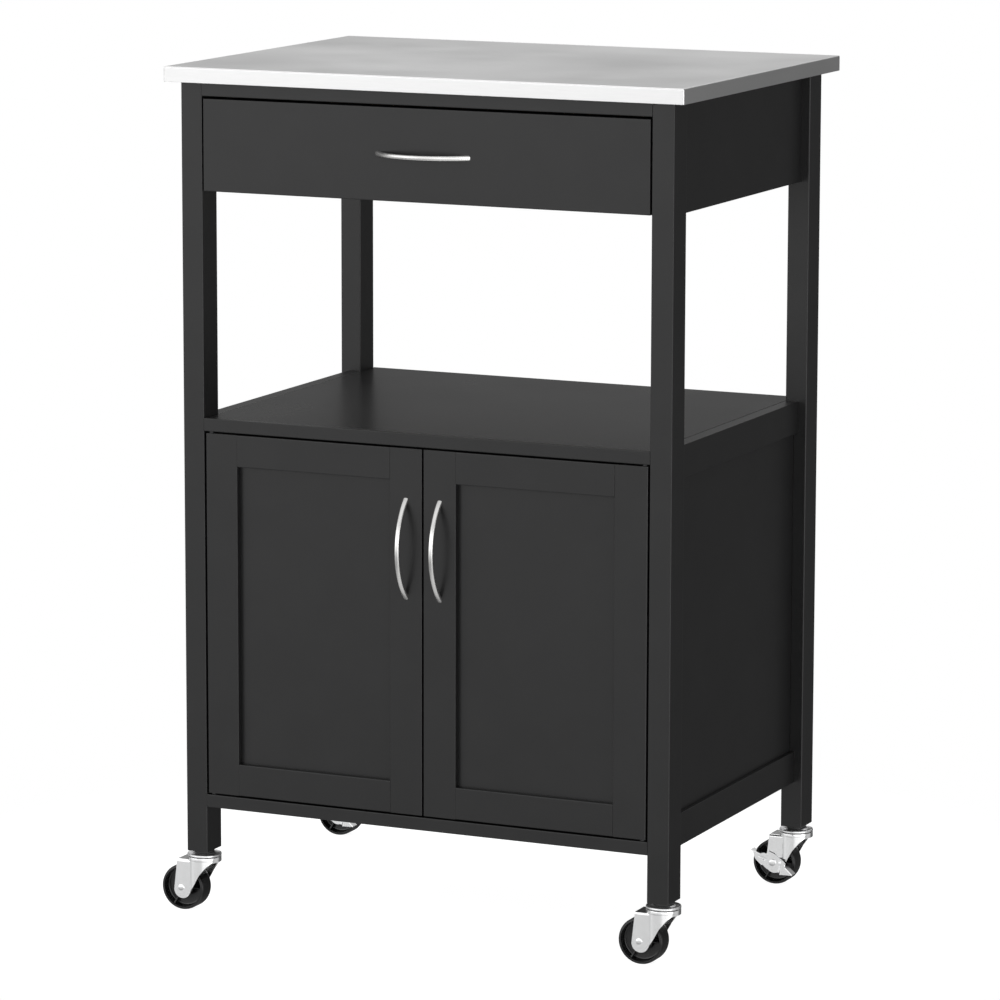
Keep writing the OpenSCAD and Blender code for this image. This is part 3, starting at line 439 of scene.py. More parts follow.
@dataclass
class Shell:
    """Points and faces of one surface, in millimetres until it is made an object."""

    points: np.ndarray
    faces: list[tuple[int, ...]]

    def moved(self, by: Sequence[float]) -> "Shell":
        """Gives a copy moved by a vector."""
        return Shell(self.points + np.asarray(by, float), self.faces)

    def mirrored(self, axis: int) -> "Shell":
        """Gives a copy mirrored across the plane where that coordinate is 0."""
        points = self.points.copy()
        points[:, axis] *= -1
        return Shell(points, [face[::-1] for face in self.faces])

    def laid(self, order: Sequence[int], signs: Sequence[float]) -> "Shell":
        """Gives a copy with its axes in another order and direction.

        Args:
            order: which old axis each new axis takes.
            signs: 1 or -1 for each new axis.
        """
        points = self.points[:, list(order)] * np.asarray(signs, float)
        even = list(order) in ([0, 1, 2], [1, 2, 0], [2, 0, 1])
        keeps = (np.prod(signs) > 0) == even
        return Shell(points, self.faces if keeps else [face[::-1] for face in self.faces])

    def turned_z(self, degrees: float) -> "Shell":
        """Gives a copy turned about Z."""
        a = math.radians(degrees)
        turn = np.array([[math.cos(a), math.sin(a), 0], [-math.sin(a), math.cos(a), 0],
                         [0, 0, 1]])
        return Shell(self.points @ turn, self.faces)

    @staticmethod
    def joined(shells: Sequence["Shell"]) -> "Shell":
        """Puts several shells into one."""
        points, faces, start = [], [], 0
        for shell in shells:
            points.append(shell.points)
            faces += [tuple(i + start for i in face) for face in shell.faces]
            start += len(shell.points)
        return Shell(np.concatenate(points), faces)

    def piece(self, name: str, material: bpy.types.Material, body: str, slot: Slot,
              sharp_degrees: float = 35.0) -> bpy.types.Object:
        """Makes the shell a finished object that rides on a body.

        Args:
            name: the object's name.
            material: its material.
            body: the CAD body it moves with.
            slot: the record's material slot; not used.
            sharp_degrees: edges bent more than this stay sharp.

        Returns:
            The object.
        """
        mesh = bpy.data.meshes.new(name)
        points = self.points * MM + ORIGIN
        mesh.from_pydata([tuple(map(float, p)) for p in points], [], self.faces)
        made = bmesh.new()
        made.from_mesh(mesh)
        bmesh.ops.remove_doubles(made, verts=made.verts, dist=WELD)
        bmesh.ops.dissolve_degenerate(made, edges=made.edges, dist=SHORTEST)
        bmesh.ops.recalc_face_normals(made, faces=made.faces)
        made.to_mesh(mesh)
        made.free()
        mesh.polygons.foreach_set("use_smooth", [True] * len(mesh.polygons))
        mesh.set_sharp_from_angle(angle=math.radians(sharp_degrees))
        mesh.materials.append(material)
        item = bpy.data.objects.new(name, mesh)
        bpy.context.scene.collection.objects.link(item)
        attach(item, body)
        log.info("%s: %d faces on %s", name, len(mesh.polygons), body)
        return item


def grid(points: np.ndarray, close_u: bool = False, close_v: bool = False) -> Shell:
    """Makes quads between rows of points.

    Args:
        points: rows x columns x 3.
        close_u: joins the last row to the first.
        close_v: joins the last column to the first.

    Returns:
        The surface.
    """
    place = np.arange(points.shape[0] * points.shape[1]).reshape(points.shape[:2])
    if close_u:
        place = np.concatenate([place, place[:1]])
    if close_v:
        place = np.concatenate([place, place[:, :1]], 1)
    faces = np.stack([place[:-1, :-1], place[:-1, 1:], place[1:, 1:], place[1:, :-1]], -1)
    return Shell(points.reshape(-1, 3), list(map(tuple, faces.reshape(-1, 4).tolist())))


def rounded_profile(corners: Sequence[tuple[float, float, float]], steps: int = 5
                    ) -> np.ndarray:
    """Rounds the corners of a profile.

    Each corner is replaced by a quadratic curve that starts and ends at its radius from
    it, along the two sides that meet there.

    Args:
        corners: (r, z, radius) of each corner.
        steps: points for each rounded corner.

    Returns:
        The profile's points, n x 2.
    """
    found = []
    for i, (r, z, radius) in enumerate(corners):
        here = np.array([r, z])
        if radius <= 0 or i in (0, len(corners) - 1):
            found.append(here)
            continue
        before = np.array(corners[i - 1][:2]) - here
        after = np.array(corners[i + 1][:2]) - here
        before *= min(radius, 0.49 * np.linalg.norm(before)) / np.linalg.norm(before)
        after *= min(radius, 0.49 * np.linalg.norm(after)) / np.linalg.norm(after)
        for t in np.linspace(0, 1, steps):
            found.append(here + before * (1 - t) ** 2 + after * t ** 2)
    return np.array(found)


def revolved(profile: np.ndarray, steps: int = 96) -> Shell:
    """Turns a profile about Z: (r, z) goes to (r cos a, r sin a, z)."""
    a = np.linspace(0, 2 * math.pi, steps, endpoint=False)
    points = np.stack([profile[:, None, 0] * np.cos(a), profile[:, None, 0] * np.sin(a),
                       np.repeat(profile[:, 1, None], steps, 1)], -1)
    return grid(points, close_v=True)


def smoothed(values: np.ndarray, width: int) -> np.ndarray:
    """Runs a moving average along rows, with the ends kept."""
    padded = np.concatenate([np.repeat(values[:1], width, 0), values,
                             np.repeat(values[-1:], width, 0)])
    kernel = np.hanning(2 * width + 1)
    kernel /= kernel.sum()
    return np.stack([np.convolve(padded[:, k], kernel, "valid")
                     for k in range(values.shape[1])], 1)


# ------------------------------ camera, studio


@dataclass(frozen=True)
class Viewpoint:
    """The photograph's camera, solved from the cart's corners."""

    place: tuple[float, float, float] = (2.32482, -5.05749, 1.41839)
    yaw: float = -0.429771968
    pitch: float = -0.172090051
    roll: float = 0.00226989
    lens: float = 183.95

    def add(self) -> None:
        """Creates the camera and makes it the scene's own."""
        ahead = Vector((math.sin(self.yaw) * math.cos(self.pitch),
                        math.cos(self.yaw) * math.cos(self.pitch), math.sin(self.pitch)))
        right = Vector((math.cos(self.yaw), -math.sin(self.yaw), 0.0))
        up = right.cross(ahead)
        turned_right = right * math.cos(self.roll) + up * math.sin(self.roll)
        turned_up = up * math.cos(self.roll) - right * math.sin(self.roll)
        data = bpy.data.cameras.new("photo_camera")
        data.lens = self.lens
        data.sensor_width = 36.0
        data.clip_end = 60.0
        camera = bpy.data.objects.new("photo_camera", data)
        bpy.context.scene.collection.objects.link(camera)
        turn = Matrix((turned_right, turned_up, -ahead)).transposed().to_4x4()
        camera.matrix_world = Matrix.Translation(self.place) @ turn
        bpy.context.scene.camera = camera


@dataclass(frozen=True)
class Screen:
    """A soft lit screen of the room, seen around a direction.

    It is fully lit where the cosine to its direction is above full, and fades out
    towards edge. Between the two heights of rise, as sines of the elevation, it grows
    from the share below to its whole level, and between those of fall it sinks to the
    share above.
    """

    name: str
    toward: tuple[float, float, float]
    edge: float
    full: float
    level: float
    rise: tuple[float, float] | None = None
    below: float = 0.0
    fall: tuple[float, float] | None = None
    above: float = 0.35

    def unit(self) -> tuple[float, ...]:
        """Gives its direction with length 1."""
        return tuple(Vector(self.toward).normalized())

    def shares(self) -> list[tuple[float, float, float, float]]:
        """Lists its two heights and the shares at them, for rise and for fall."""
        rise = [(*self.rise, self.below, 1.0)] if self.rise else []
        return rise + ([(*self.fall, 1.0, self.above)] if self.fall else [])


class Studio:
    """A pale floor in a dim room with soft lit screens.

    To the camera the room is white, and the floor is raised to white except where the
    cart's shadow falls on it. Beyond the cart it fades out into the white. Reflections
    see the room's own lower half instead of the floor.
    """

    SCREENS = (
        Screen("overhead", (-0.12, -0.05, 1.0), 0.42, 0.80, 0.80),
        Screen("underneath", (0.2, -0.2, -1.0), 0.40, 0.80, 0.55),
        Screen("front", (0.0, -1.0, -0.1), 0.09, 0.64, 0.88, (-0.42, -0.08), 0.14,
               (0.30, 0.60)),
        Screen("front_band", (-0.1, -1.0, 0.2), 0.80, 0.93, 0.65, (-0.10, 0.12), 0.0,
               (0.36, 0.50), 0.0),
        Screen("front_left", (-0.766, -0.643, 0.0), 0.848, 0.934, 1.3, (-0.18, 0.08), 0.0,
               (0.13, 0.36)),
        Screen("front_right", (0.766, -0.643, 0.0), 0.68, 0.82, 0.60, (-0.40, 0.0), 0.2,
               (0.13, 0.36)),
        Screen("left_floor", (-0.95, 0.25, -0.2), 0.55, 0.92, 0.38, (0.05, -0.12)),
        Screen("right", (0.90, 0.42, -0.1), 0.86, 0.97, 0.42),
        Screen("right_strip", (0.92, -0.38, -0.05), 0.93, 0.98, 1.6),
        Screen("back", (0.13, 0.90, 0.42), 0.90, 0.97, 0.10),
        Screen("overhead_back", (-0.2, 0.55, 0.81), 0.76, 0.93, 0.92),
        Screen("back_left", (-0.45, 0.88, 0.20), 0.86, 0.97, 0.02),
    )
    ROOM = 0.11
    FLOOR_HALF = 2.0
    FLOOR_TONES = ((0.29, 0.29, 0.29, 1), (0.31, 0.31, 0.31, 1))
    FLOOR_FADE = (0.38, 0.72)
    FLOOR_GLOW = 0.95

    def build(self) -> None:
        """Creates the floor and the world."""
        self._world()
        self._floor()
        bpy.context.scene.view_settings.view_transform = "Standard"

    def _world(self) -> None:
        """Makes the room: its dim walls plus each screen, and white to the camera."""
        world = bpy.data.worlds.new("studio")
        world.use_nodes = True
        bpy.context.scene.world = world
        g = Graph(world.node_tree)
        toward = g.node("ShaderNodeTexCoord").outputs["Generated"]
        height = g.node("ShaderNodeSeparateXYZ", None, {0: toward}).outputs["Z"]
        total = self.ROOM
        for screen in self.SCREENS:
            near = g.vector("DOT_PRODUCT", toward, screen.unit(), "Value")
            near.node.label = screen.name
            glow = g.ramp(near, screen.edge, screen.full, 0.0, screen.level, "SMOOTHSTEP")
            for share in screen.shares():
                glow = g.times(glow, g.ramp(height, *share, "SMOOTHSTEP"))
            total = g.math("ADD", glow, total)
        path = g.node("ShaderNodeLightPath")
        white, room = (g.node("ShaderNodeBackground", None,
                              {"Color": WHITE, "Strength": strength}).outputs[0]
                       for strength in (1.0, total))
        shown = g.node("ShaderNodeMixShader", None,
                       {0: path.outputs["Is Camera Ray"], 1: room, 2: white})
        g.node("ShaderNodeOutputWorld", None, {0: shown.outputs[0]})

    def _floor(self) -> None:
        """Makes the floor, which glows to the camera and isn't there for reflections."""
        size = self.FLOOR_HALF
        mesh = bpy.data.meshes.new("floor")
        mesh.from_pydata([(-size, -size, 0), (size, -size, 0), (size, size, 0),
                          (-size, size, 0)], [], [(0, 1, 2, 3)])
        floor = bpy.data.objects.new("floor", mesh)
        bpy.context.scene.collection.objects.link(floor)
        material = bpy.data.materials.new("floor")
        material.use_nodes = True
        g = Graph(material.node_tree)
        place = g.node("ShaderNodeTexCoord").outputs["Object"]
        path = g.node("ShaderNodeLightPath").outputs
        shader = g.node("ShaderNodeBsdfPrincipled", None, {
            "Base Color": g.mix(g.noise(place, 1.2, 2.0), *self.FLOOR_TONES),
            "Roughness": 0.9, "Specular IOR Level": 0.2, "Emission Color": WHITE,
            "Emission Strength": g.times(path["Is Camera Ray"], self.FLOOR_GLOW)})
        away = g.vector("LENGTH", place, gives="Value")
        fade = g.ramp(away, *self.FLOOR_FADE, curve="SMOOTHSTEP")
        gone = g.math("MAXIMUM", fade, path["Is Glossy Ray"])
        clear = g.node("ShaderNodeBsdfTransparent")
        both = g.node("ShaderNodeMixShader", None,
                      {0: gone, 1: shader.outputs[0], 2: clear.outputs[0]})
        g.node("ShaderNodeOutputMaterial", None, {0: both.outputs[0]})
        mesh.materials.append(material)


# ------------------------------ assemblies


@dataclass(frozen=True)
class Assembly:
    """A sub-assembly of CAD nodes that keep their shape, grouped by their finish."""

    title: str
    groups: tuple[tuple[Finish, Grain, str], ...]

    def build(self, palette: Palette) -> None:
        """Gives each CAD node of this sub-assembly its material.

        Args:
            palette: the materials.
        """
        for finish, grain, names in self.groups:
            material = palette.get(finish, grain)
            for name in names.split():
                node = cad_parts[name]
                for slot in node.material_slots:
                    slot.material = material
                if not node.material_slots:
                    node.data.materials.append(material)
                log.info("%s: %s gets %s", self.title, name, material.name)


X, Y, Z = Grain.ALONG_X, Grain.ALONG_Y, Grain.ALONG_Z


def door(side: str) -> Assembly:
    """Gives the parts of one door."""
    return Assembly(f"{side} door", (
        (LACQUER, Z, f"door_{side}_stiles door_{side}_panel"),
        (LACQUER, X, f"door_{side}_rails"), (BLACK_STEEL, X, f"door_{side}_fittings")))


ASSEMBLIES = (
    Assembly("frame", (
        (LACQUER, Z, "leg_front_left leg_front_right leg_rear_left leg_rear_right"),
        (LACQUER, X, "top_front_rail apron_rear"),
        (LACQUER, Y, "apron_left apron_right"),
        (RAW_BOARD, X, "worktop_board"), (STEEL_TOP, X, "worktop_sheet"),
        (ZINC, X, "worktop_brackets frame_screws"))),
    Assembly("cabinet", (
        (LACQUER_SHELF, X, "shelf_panel"),
        (LACQUER, X, "shelf_front_rail rear_rails base_panel base_front_rail inner_shelf"),
        (LACQUER, Y, "side_rails_left side_rails_right panel_cleats"),
        (LACQUER, Z, "side_panel_left side_panel_right back_panel"),
        (ZINC, X, "shelf_pins"), (BLACK_STEEL, X, "hinge_plates"),
        (SOCKET_BLACK, X, "door_catch"))),
    Assembly("drawer", (
        (LACQUER, X, "drawer_front"), (RAW_BOARD, Y, "drawer_sides"),
        (RAW_BOARD, X, "drawer_back drawer_bottom"), (ZINC, X, "drawer_pull_screws"),
        (RUNNER, Y, "drawer_runners_fixed drawer_runners_moving runner_ball_cages"))),
    door("left"), door("right"),
    # The sockets' black is partly their plastic and partly painted shade between leg and race.
    Assembly("casters", ((SOCKET_BLACK, Z, "caster_sockets"),)),
)


# ------------------------------ pulls


@dataclass(frozen=True)
class BowPull:
    """A bow pull: a bar along an arc that ends in the face of its front.

    The bar's middle line is an arc of radius b = (h^2 + r^2) / 2r, for half span h and
    reach r. Its section is a flattened oval that grows taller towards the feet. A line
    of the skin at radius q ends where it meets the face, at the angle acos((b - r) / q).
    """

    node: str
    body: str
    middle: tuple[float, float, float]
    upright: bool
    span: float = 104.6
    reach: float = 21.5
    thick: float = 4.4
    tall: tuple[float, float] = (5.0, 6.2)
    swell: float = 2.2
    flatness: tuple[float, float] = (0.62, 0.80)

    def surface(self) -> Shell:
        """Computes the bar, along X and bulging to -Y, about its middle."""
        half = self.span / 2
        bow = (half ** 2 + self.reach ** 2) / (2 * self.reach)
        share = np.linspace(-1, 1, 160)[:, None]
        around = np.linspace(0, 2 * math.pi, 40, endpoint=False)[None, :]
        height = self.tall[0] + (self.tall[1] - self.tall[0]) * np.abs(share) ** self.swell
        flat, rise = (np.sign(wave) * np.abs(wave) ** power for wave, power in
                      zip((np.cos(around), np.sin(around)), self.flatness))
        out = bow + flat * self.thick / 2
        along = share * np.arccos((bow - self.reach) / out)
        points = np.stack([out * np.sin(along), bow - self.reach - out * np.cos(along),
                           rise * height / 2], -1)
        return grid(points, close_v=True)

    def build(self, palette: Palette) -> None:
        """Makes the pull and lets it stand for its CAD node."""
        bar = self.surface()
        grain = Grain.ALONG_X
        if self.upright:
            bar = bar.laid((2, 1, 0), (1, 1, 1))
            grain = Grain.ALONG_Z
        item = bar.moved(self.middle).piece(f"{self.node}_bar", palette.get(NICKEL, grain),
                                            self.body, Slot.NICKEL, sharp_degrees=70)
        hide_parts(self.node)


def node_middle(node: str) -> np.ndarray:
    """Gives the middle of a node's box in cart millimetres."""
    low, high = (np.array(list(map(float, corner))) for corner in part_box(node))
    return ((low + high) / 2 - ORIGIN) / MM


def pull_of(node: str, body: str, upright: bool) -> BowPull:
    """Places a pull on the face of its front, at its node's height and width."""
    x, _, z = node_middle(node)
    return BowPull(node, body, (x, 0.0, z), upright)


PULLS = (pull_of("drawer_pull", "drawer", False),
         pull_of("door_left_pull", "door_left", True),
         pull_of("door_right_pull", "door_right", True))


# ------------------------------ casters

TRAIL = 22.5            # axle to the left of the stem, as the casters stand
LEG_UNDER = 70.0        # underside of the legs above the floor
AXLE_Z = -44.5          # axle, below the underside of the leg
STEM_X = 275.5          # stems left and right of the middle
STEM_Y = (17.0, 403.0)  # stems of the front and rear legs
CORNERS = ("front_left", "front_right", "rear_left", "rear_right")


def stem_of(corner: str) -> np.ndarray:
    """Gives the place of a corner's stem at the leg's underside, in cart mm."""
    row, side = corner.split("_")
    return np.array([STEM_X if side == "right" else -STEM_X,
                     STEM_Y[0] if row == "front" else STEM_Y[1], LEG_UNDER])


@dataclass(frozen=True)
class Wheel:
    """A moulded wheel with a hub, a thin web, and ribs on both faces."""

    radius: float = 25.5
    half: float = 10.9
    ring_in: float = 22.2
    web: float = 2.2
    hub_r: float = 7.0
    bore_r: float = 3.1
    ribs: int = 3
    rib_half: float = 1.2
    rib_below: float = 1.8
    rib_sag: float = 1.0
    rib_run: float = 15.0
    rib_round: float = 1.1
    rib_flank: float = 0.93

    def surface(self) -> Shell:
        """Computes the wheel with its axle along Z and its middle at 0."""
        r, h, ring, web = self.radius, self.half, self.ring_in, self.web
        bore, hub = self.bore_r, self.hub_r
        face = [(bore, h - 0.2, 0), (bore, h + 0.1, 0.2), (hub, h + 0.1, 0.5),
                (hub + 0.4, web, 1.4), (ring - 0.4, web, 1.8), (ring, h - 0.7, 0.4),
                (ring + 0.5, h, 0.5), (ring + 1.2, h - 0.5, 0.4), (r - 0.7, h - 0.5, 0.7),
                (r, h - 2.4, 1.0), (r, 0.0, 0)]
        upper = rounded_profile(face, 7)
        lower = upper[::-1][1:] * (1, -1)
        turned = revolved(np.concatenate([upper, lower]), 160)
        ribs = [self._rib(side).turned_z(360 / self.ribs * i)
                for i in range(self.ribs) for side in (1, -1)]
        return Shell.joined([turned, *ribs])

    def _rib(self, side: int) -> Shell:
        """Computes a radial rib with a round top that sags between hub and ring."""
        along = np.linspace(self.hub_r - 0.5, self.ring_in + 0.3, 14)[:, None]
        across = np.linspace(-1, 1, 21)[None, :]
        sag = self.rib_sag * np.sin((along - self.hub_r) / self.rib_run * math.pi)
        flank = np.minimum(np.abs(across) / self.rib_flank, 1)
        top = self.half - self.rib_below - sag - self.rib_round * (1 - np.sqrt(1 - flank ** 2))
        foot = np.abs(across) > 0.95
        points = np.stack([along + 0 * across, across * self.rib_half + 0 * along,
                           np.where(foot, self.web - 0.2, top) * side], -1)
        return grid(points)


@dataclass(frozen=True)
class Fork:
    """A stamped fork about the stem at the leg's underside.

    In plan the sheet is two flat cheeks that step out, at a crease, to a round head. At
    each height the sheet reaches from its back edge to its front edge, and the front
    edge follows a curve that drops from the skirt to the rounded end below the axle.
    """

    half: float = 13.0
    head: float = 18.8
    crease: float = -11.3
    sheet: float = 1.8
    back_top: float = -27.5
    end: tuple[float, float] = (-21.3, -46.2)
    end_r: float = 10.0
    plate: float = -12.0
    dish: float = -8.0
    bend: float = 2.2
    jog: float = 2.2
    curl_fade: tuple[float, float] = (0.2, 0.8)
    rivet: tuple[float, float] = (3.8, 0.05)
    lever_rivet: tuple[float, float] = (4.3, 1.75)
    rearmost: float = -40.0
    front: tuple = ((12.4, 18.99), (12.7, 16.5), (13.1, 15.8), (14.9, 13.2), (17.8, 10.1),
                    (22.4, 6.4), (27.8, 2.2), (32.4, -0.4), (37.1, -2.9), (41.5, -5.7),
                    (45.3, -8.7), (47.0, -10.3), (51.9, -13.1))
    PLAN_POINTS = 500
    COLUMNS = 190
    TOP_POINTS = 24

    def _plan(self) -> tuple[np.ndarray, np.ndarray]:
        """Gives the half plan's points from the back to the front, and their lengths."""
        meet = math.acos((self.crease + self.jog) / self.head)
        flat = np.linspace(self.rearmost, self.crease, 80)
        turn = np.linspace(meet, 0.0, 160)
        path = np.concatenate([
            np.stack([flat, np.full(len(flat), -self.half)], 1),
            np.stack([self.head * np.cos(turn), -self.head * np.sin(turn)], 1)])
        step = np.linalg.norm(np.diff(path, axis=0), axis=1)
        lengths = np.concatenate([[0], np.cumsum(step)])
        even = np.linspace(0, lengths[-1], self.PLAN_POINTS)
        path = np.stack([np.interp(even, lengths, path[:, k]) for k in (0, 1)], 1)
        return smoothed(path, 4), even

    def _edges(self, z: np.ndarray) -> tuple[np.ndarray, np.ndarray]:
        """Gives the back and front edge's x at each height."""
        (ex, ez), r = self.end, self.end_r
        back = np.interp(-z, [-self.plate, -ez], [self.back_top, ex - r])
        front = np.interp(-z, *np.array(self.front).T)
        low = np.sqrt(np.maximum(r ** 2 - (z - ez) ** 2, 0))
        back = np.where(z < ez, ex - low, back)
        front = np.where(z < -self.front[-1][0], ex + low, front)
        return back, front

    def _half_sheet(self) -> Shell:
        """Computes one cheek with its half of the head, as a closed sheet."""
        path, lengths = self._plan()
        normal = np.gradient(path, axis=0)
        normal = np.stack([-normal[:, 1], normal[:, 0]], 1)
        normal /= np.linalg.norm(normal, axis=1)[:, None]
        bottom = self.end[1] - self.end_r
        turn = np.linspace(0, math.pi / 2, 7)
        down = np.concatenate([np.linspace(0.0, 0.999, 70),
                               1 - np.geomspace(1e-3, 1e-6, 4)])
        down = np.sin(down * math.pi / 2)
        rows = self.plate - self.bend + (bottom - self.plate + self.bend) * down
        back, front = self._edges(rows)
        columns = np.linspace(0, lengths[-1], self.COLUMNS)
        curled = [(self.back_top, self.head, self.plate - self.bend * (1 - math.sin(angle)),
                   self.bend * (1 - math.cos(angle))) for angle in turn[:0:-1]]
        straight = [(start, stop, z, 0.0) for z, start, stop in zip(rows, back, front)]
        outer, inner = (np.array([self._row(path, lengths, normal, columns, inward, *row)
                                  for row in curled + straight])
                        for inward in (0.0, self.sheet))
        rim = np.stack([outer[:, -1], inner[:, -1]], 1)
        rear = np.stack([outer[:, 0], inner[:, 0]], 1)
        return Shell.joined([grid(outer), grid(inner), grid(rim), grid(rear)])

    def _row(self, path: np.ndarray, lengths: np.ndarray, normal: np.ndarray,
             columns: np.ndarray, inward: float, start: float, stop: float,
             z: float, curl: float) -> np.ndarray:
        """Gives one row of the sheet between two x, moved in by a distance.

        The curl of the top edge fades out at the crease, because the dish stands on
        the round head.
        """
        run = np.interp([start, min(stop, path[-1, 0])], path[:, 0], lengths)
        if stop >= self.head:
            run[1] = lengths[-1]
        place = np.clip(columns, *run)
        x, y, nx, ny = (np.interp(place, lengths, values)
                        for values in (*path.T, *normal.T))
        gap, fade = self.curl_fade
        away = inward + curl * np.clip((self.crease - gap - x) / fade, 0, 1)
        return np.stack([x + nx * away, y + ny * away, np.full(len(x), z)], 1)

    def _top(self) -> Shell:
        """Computes the flat top between the bends, and the dish that stands on it."""
        edge = self.half - self.bend
        x, y = np.meshgrid(np.linspace(self.back_top, 0.0, self.TOP_POINTS),
                           np.linspace(-edge, edge, self.TOP_POINTS), indexing="ij")
        skins = [np.stack([x, y, 0 * x + z], -1)
                 for z in (self.plate, self.plate - self.sheet)]
        rear = np.stack([skin[0] for skin in skins])
        r, t = self.head, self.sheet
        dish = rounded_profile([
            (6.0, self.plate - t, 0), (r - 2.0, self.plate - t, 0.4),
            (r - 0.05, self.plate - 0.4, 0), (r, self.plate + 0.05, 0), (r, self.dish, 0.5),
            (r - 1.2, self.dish - 0.05, 0.4), (r - 1.7, self.plate + 0.1, 0.8),
            (6.0, self.plate, 0)], 5)
        return Shell.joined([*map(grid, skins), grid(rear), revolved(dish, 160)])

    def surface(self, braked: bool) -> Shell:
        """Computes the whole fork with its axle rivet.

        Args:
            braked: the rivet's front head also holds the brake lever.
        """
        cheek = self._half_sheet()
        front = self.lever_rivet if braked else self.rivet
        return Shell.joined([cheek, cheek.mirrored(1), self._top(),
                             self._rivet_head(-1, *front), self._rivet_head(1, *self.rivet)])

    def _rivet_head(self, sign: int, r: float, gap: float) -> Shell:
        """Computes the rivet's head of radius r, at a gap outside one cheek."""
        profile = rounded_profile([(0.0, 0.80, 0), (0.5 * r, 0.76, 2.0),
                                   (0.93 * r, 0.55, 0.4), (r, 0.2, 0.2), (r, -0.3, 0)], 7)
        dome = revolved(profile, 64).laid((0, 2, 1), (1, sign, 1))
        return dome.moved((-TRAIL, sign * (self.half + gap), AXLE_Z))


@dataclass(frozen=True)
class BrakeLever:
    """A stamped brake lever about the axle, seen along Y.

    The plate lies between two chains of points, steps outward past the head of the
    fork, and has a pressed slot near its left end. A flange stands out at each end.
    """

    plate_y: float = -13.3
    sheet: float = 1.2
    step: float = 5.6
    bend_at: float = 7.0
    tilt: float = math.radians(8)
    upper: tuple = ((-23.5, 10.1), (-22.8, 15.6), (-13.8, 10.0), (-10.3, 10.7),
                    (-8.0, 9.7), (-5.3, 13.1), (1.2, 10.8), (7.6, 6.4), (13.6, 5.6),
                    (15.2, 4.6), (18.0, 1.6), (29.5, -8.0))
    lower: tuple = ((-23.5, 10.1), (-22.7, 6.7), (-21.4, 3.0), (-18.1, -0.2),
                    (-13.6, -4.0), (-12.0, -3.4), (-10.0, -5.5), (-6.7, -7.9),
                    (1.4, -9.9), (9.0, -11.6), (25.1, -11.1), (29.5, -8.0))
    slot: tuple[float, float, float, float] = (-15.2, 5.3, -9.6, 3.5)
    slot_r: float = 1.7
    slot_wall: float = 0.4
    slot_deep: float = 0.95
    toe: float = 0.12
    toe_r: float = 0.5
    flanges: tuple = ((1, 0.0, ((0, 10.0), (1, 4.0))),
                      (10, 5.6, ((0, 3.0), (0.2, 9.0), (1, 10.0))))
    COLUMNS = 240
    ROWS = 70

    def _height(self, x: np.ndarray, z: np.ndarray) -> np.ndarray:
        """Gives how far the plate stands out at each place."""
        across = x * math.cos(self.tilt) - z * math.sin(self.tilt)
        run = np.clip((across - self.bend_at) / self.step, 0, 1)
        out = self.step * (run * run * (3 - 2 * run) * 0.3 + run * 0.7)
        ax, az, bx, bz = self.slot
        dx, dz = bx - ax, bz - az
        share = np.clip(((x - ax) * dx + (z - az) * dz) / (dx ** 2 + dz ** 2), 0, 1)
        away = np.hypot(x - ax - share * dx, z - az - share * dz)
        pressed = np.clip((self.slot_r - away) / self.slot_wall, 0, 1)
        return out - self.slot_deep * pressed * pressed * (3 - 2 * pressed)

    def surface(self) -> Shell:
        """Computes the plate with its two flanges."""
        columns = np.linspace(self.upper[0][0], self.upper[-1][0], self.COLUMNS)
        top = np.interp(columns, *np.array(self.upper).T)
        low = np.interp(columns, *np.array(self.lower).T)
        soft = smoothed(np.stack([top, low], 1), 2)
        share = np.linspace(0, 1, self.ROWS)[None, :]
        z = soft[:, 1, None] * (1 - share) + soft[:, 0, None] * share
        x = columns[:, None] + 0 * share
        y = self.plate_y - self._height(x, z)
        outer = np.stack([x, y - self.sheet, z], -1)
        inner = np.stack([x, y, z], -1)
        place = np.arange(self.COLUMNS * self.ROWS).reshape(self.COLUMNS, self.ROWS)
        loop = np.concatenate([place[:, 0], place[-1], place[::-1, -1], place[0, ::-1]])
        rim = np.stack([outer.reshape(-1, 3)[loop], inner.reshape(-1, 3)[loop]], 1)
        feet = [self._foot(self.upper[at], self.upper[at + 1], step, widths)
                for at, step, widths in self.flanges]
        return Shell.joined([grid(outer), grid(inner), grid(rim), *feet])

    def _foot(self, a: Sequence[float], b: Sequence[float], step: float,
              widths: Sequence[Sequence[float]]) -> Shell:
        """Computes a flange along the edge from a to b, bent out on a small radius.

        Args:
            a: the edge's start, in X and Z.
            b: the edge's end.
            step: how far the plate stands out there.
            widths: (share of the edge, width) along it.
        """
        start, stop = np.array(a), np.array(b)
        run = (stop - start) / np.linalg.norm(stop - start)
        under = np.array([run[1], -run[0]])
        u = np.linspace(0, 1, 30)
        length = np.interp(u, *np.array(widths, float).T)
        shares = np.concatenate([[0.0, 0.03, 0.07], np.linspace(self.toe, 1, 11)])
        sides = []
        for depth in (0.0, self.sheet):
            rows = []
            for share in shares:
                curl = self.toe_r * (max(0.0, self.toe - share) / self.toe) ** 2
                place = start + (stop - start) * u[:, None] + under * depth + under * curl
                rows.append(np.stack([place[:, 0], self.plate_y - step - share * length,
                                      place[:, 1]], 1))
            sides.append(np.array(rows))
        near, far = sides
        ends = [grid(np.stack([near[:, k], far[:, k]], 1)) for k in (0, -1)]
        return Shell.joined([grid(np.concatenate([near, far[::-1]]), close_u=True), *ends])


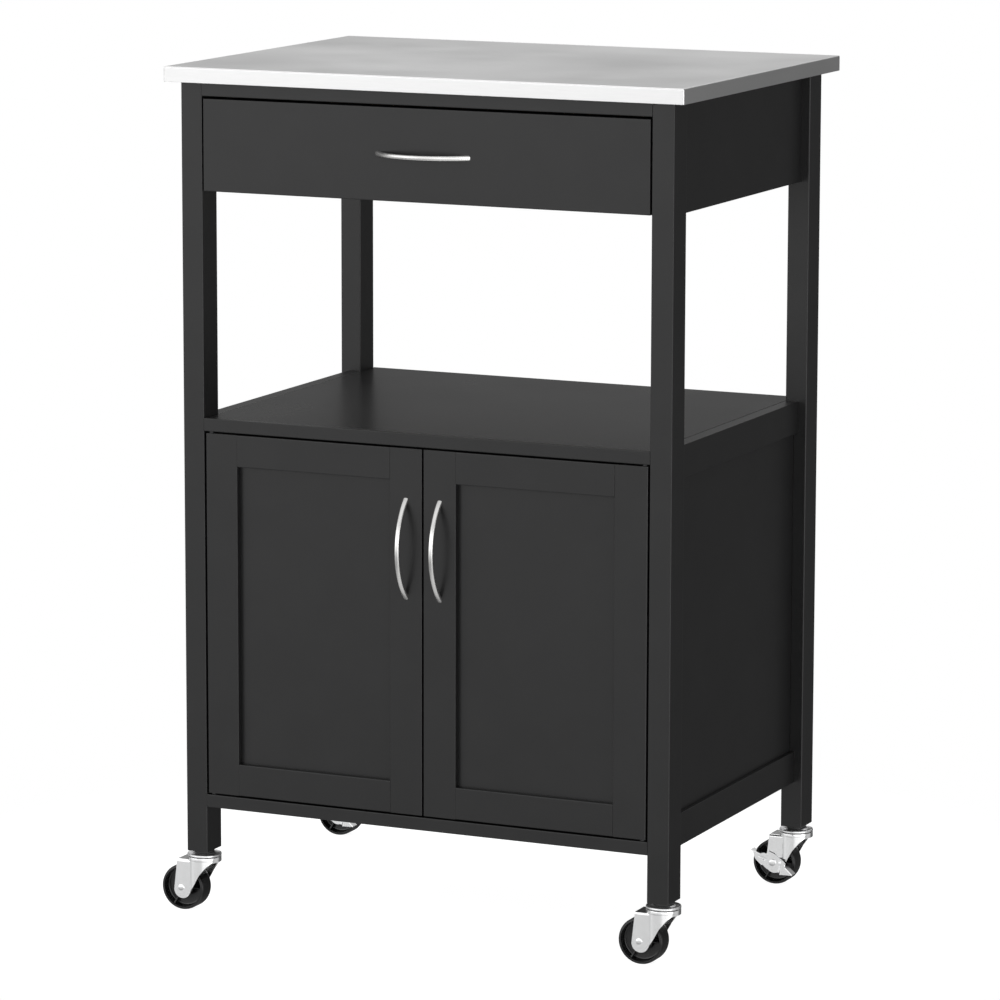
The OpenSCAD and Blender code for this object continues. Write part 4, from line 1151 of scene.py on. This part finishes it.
@dataclass(frozen=True)
class Caster:
    """One caster below its leg: fork, wheel and, at the rear, the brake lever."""

    corner: str

    def build(self, palette: Palette) -> None:
        """Makes the caster's pieces, each in the place of its CAD node."""
        stem = stem_of(self.corner)
        axle = stem + (-TRAIL, 0, AXLE_Z)
        braked = self.corner.startswith("rear")
        fork = Fork().surface(braked).moved(stem)
        item = fork.piece(f"fork_{self.corner}_sheet", palette.get(ZINC),
                          f"swivel_{self.corner}", Slot.ZINC)
        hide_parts(f"fork_{self.corner}")
        wheel = Wheel().surface().laid((0, 2, 1), (1, 1, 1)).moved(axle)
        item = wheel.piece(f"wheel_{self.corner}_moulding", palette.get(WHEEL_BLACK),
                           f"wheel_{self.corner}", Slot.GLOSS_PLASTIC, sharp_degrees=50)
        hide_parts(f"wheel_{self.corner}")
        if braked:
            side = self.corner.split("_")[1]
            lever = BrakeLever().surface().moved(axle)
            item = lever.piece(f"brake_{side}_stamping", palette.get(ZINC),
                               f"brake_{side}", Slot.ZINC)
            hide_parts(f"brake_lever_{side}")


def build_races(palette: Palette) -> None:
    """Makes the four stems with their upper races, revolved about Z."""
    profile = rounded_profile([
        (0.0, 36.0, 0), (4.5, 36.0, 0.4), (5.5, 35.0, 0.4), (5.5, -3.5, 0.3),
        (11.7, -3.5, 0.5), (13.0, -4.9, 1.0), (17.0, -4.9, 1.0), (18.1, -4.5, 0.8),
        (19.0, -5.0, 0.9), (19.0, -7.0, 0.4), (17.7, -7.0, 0.2), (17.7, -6.3, 0.3),
        (12.4, -6.2, 0.8), (10.8, -5.1, 0.6), (5.0, -5.1, 0.5),
        (5.0, -13.95, 0), (7.5, -13.95, 0.3), (7.2, -15.4, 0.6), (5.0, -16.2, 0.5),
        (0.0, -16.2, 0)], 6)
    one = revolved(profile, 144)
    stems = Shell.joined([one.moved(stem_of(corner)) for corner in CORNERS])
    item = stems.piece("caster_stems_turned", palette.get(SHADED_RACE_ZINC), "frame",
                       Slot.ZINC)
    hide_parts("caster_stems")


def main() -> None:
    """Builds the scene."""
    logging.basicConfig(level=logging.INFO, format="%(name)s: %(message)s")
    palette = Palette()
    Viewpoint().add()
    Studio().build()
    for assembly in ASSEMBLIES:
        assembly.build(palette)
    for pull in PULLS:
        pull.build(palette)
    for corner in CORNERS:
        Caster(corner).build(palette)
    build_races(palette)
    bpy.context.view_layer.update()


if __name__ == "__main__":
    main()
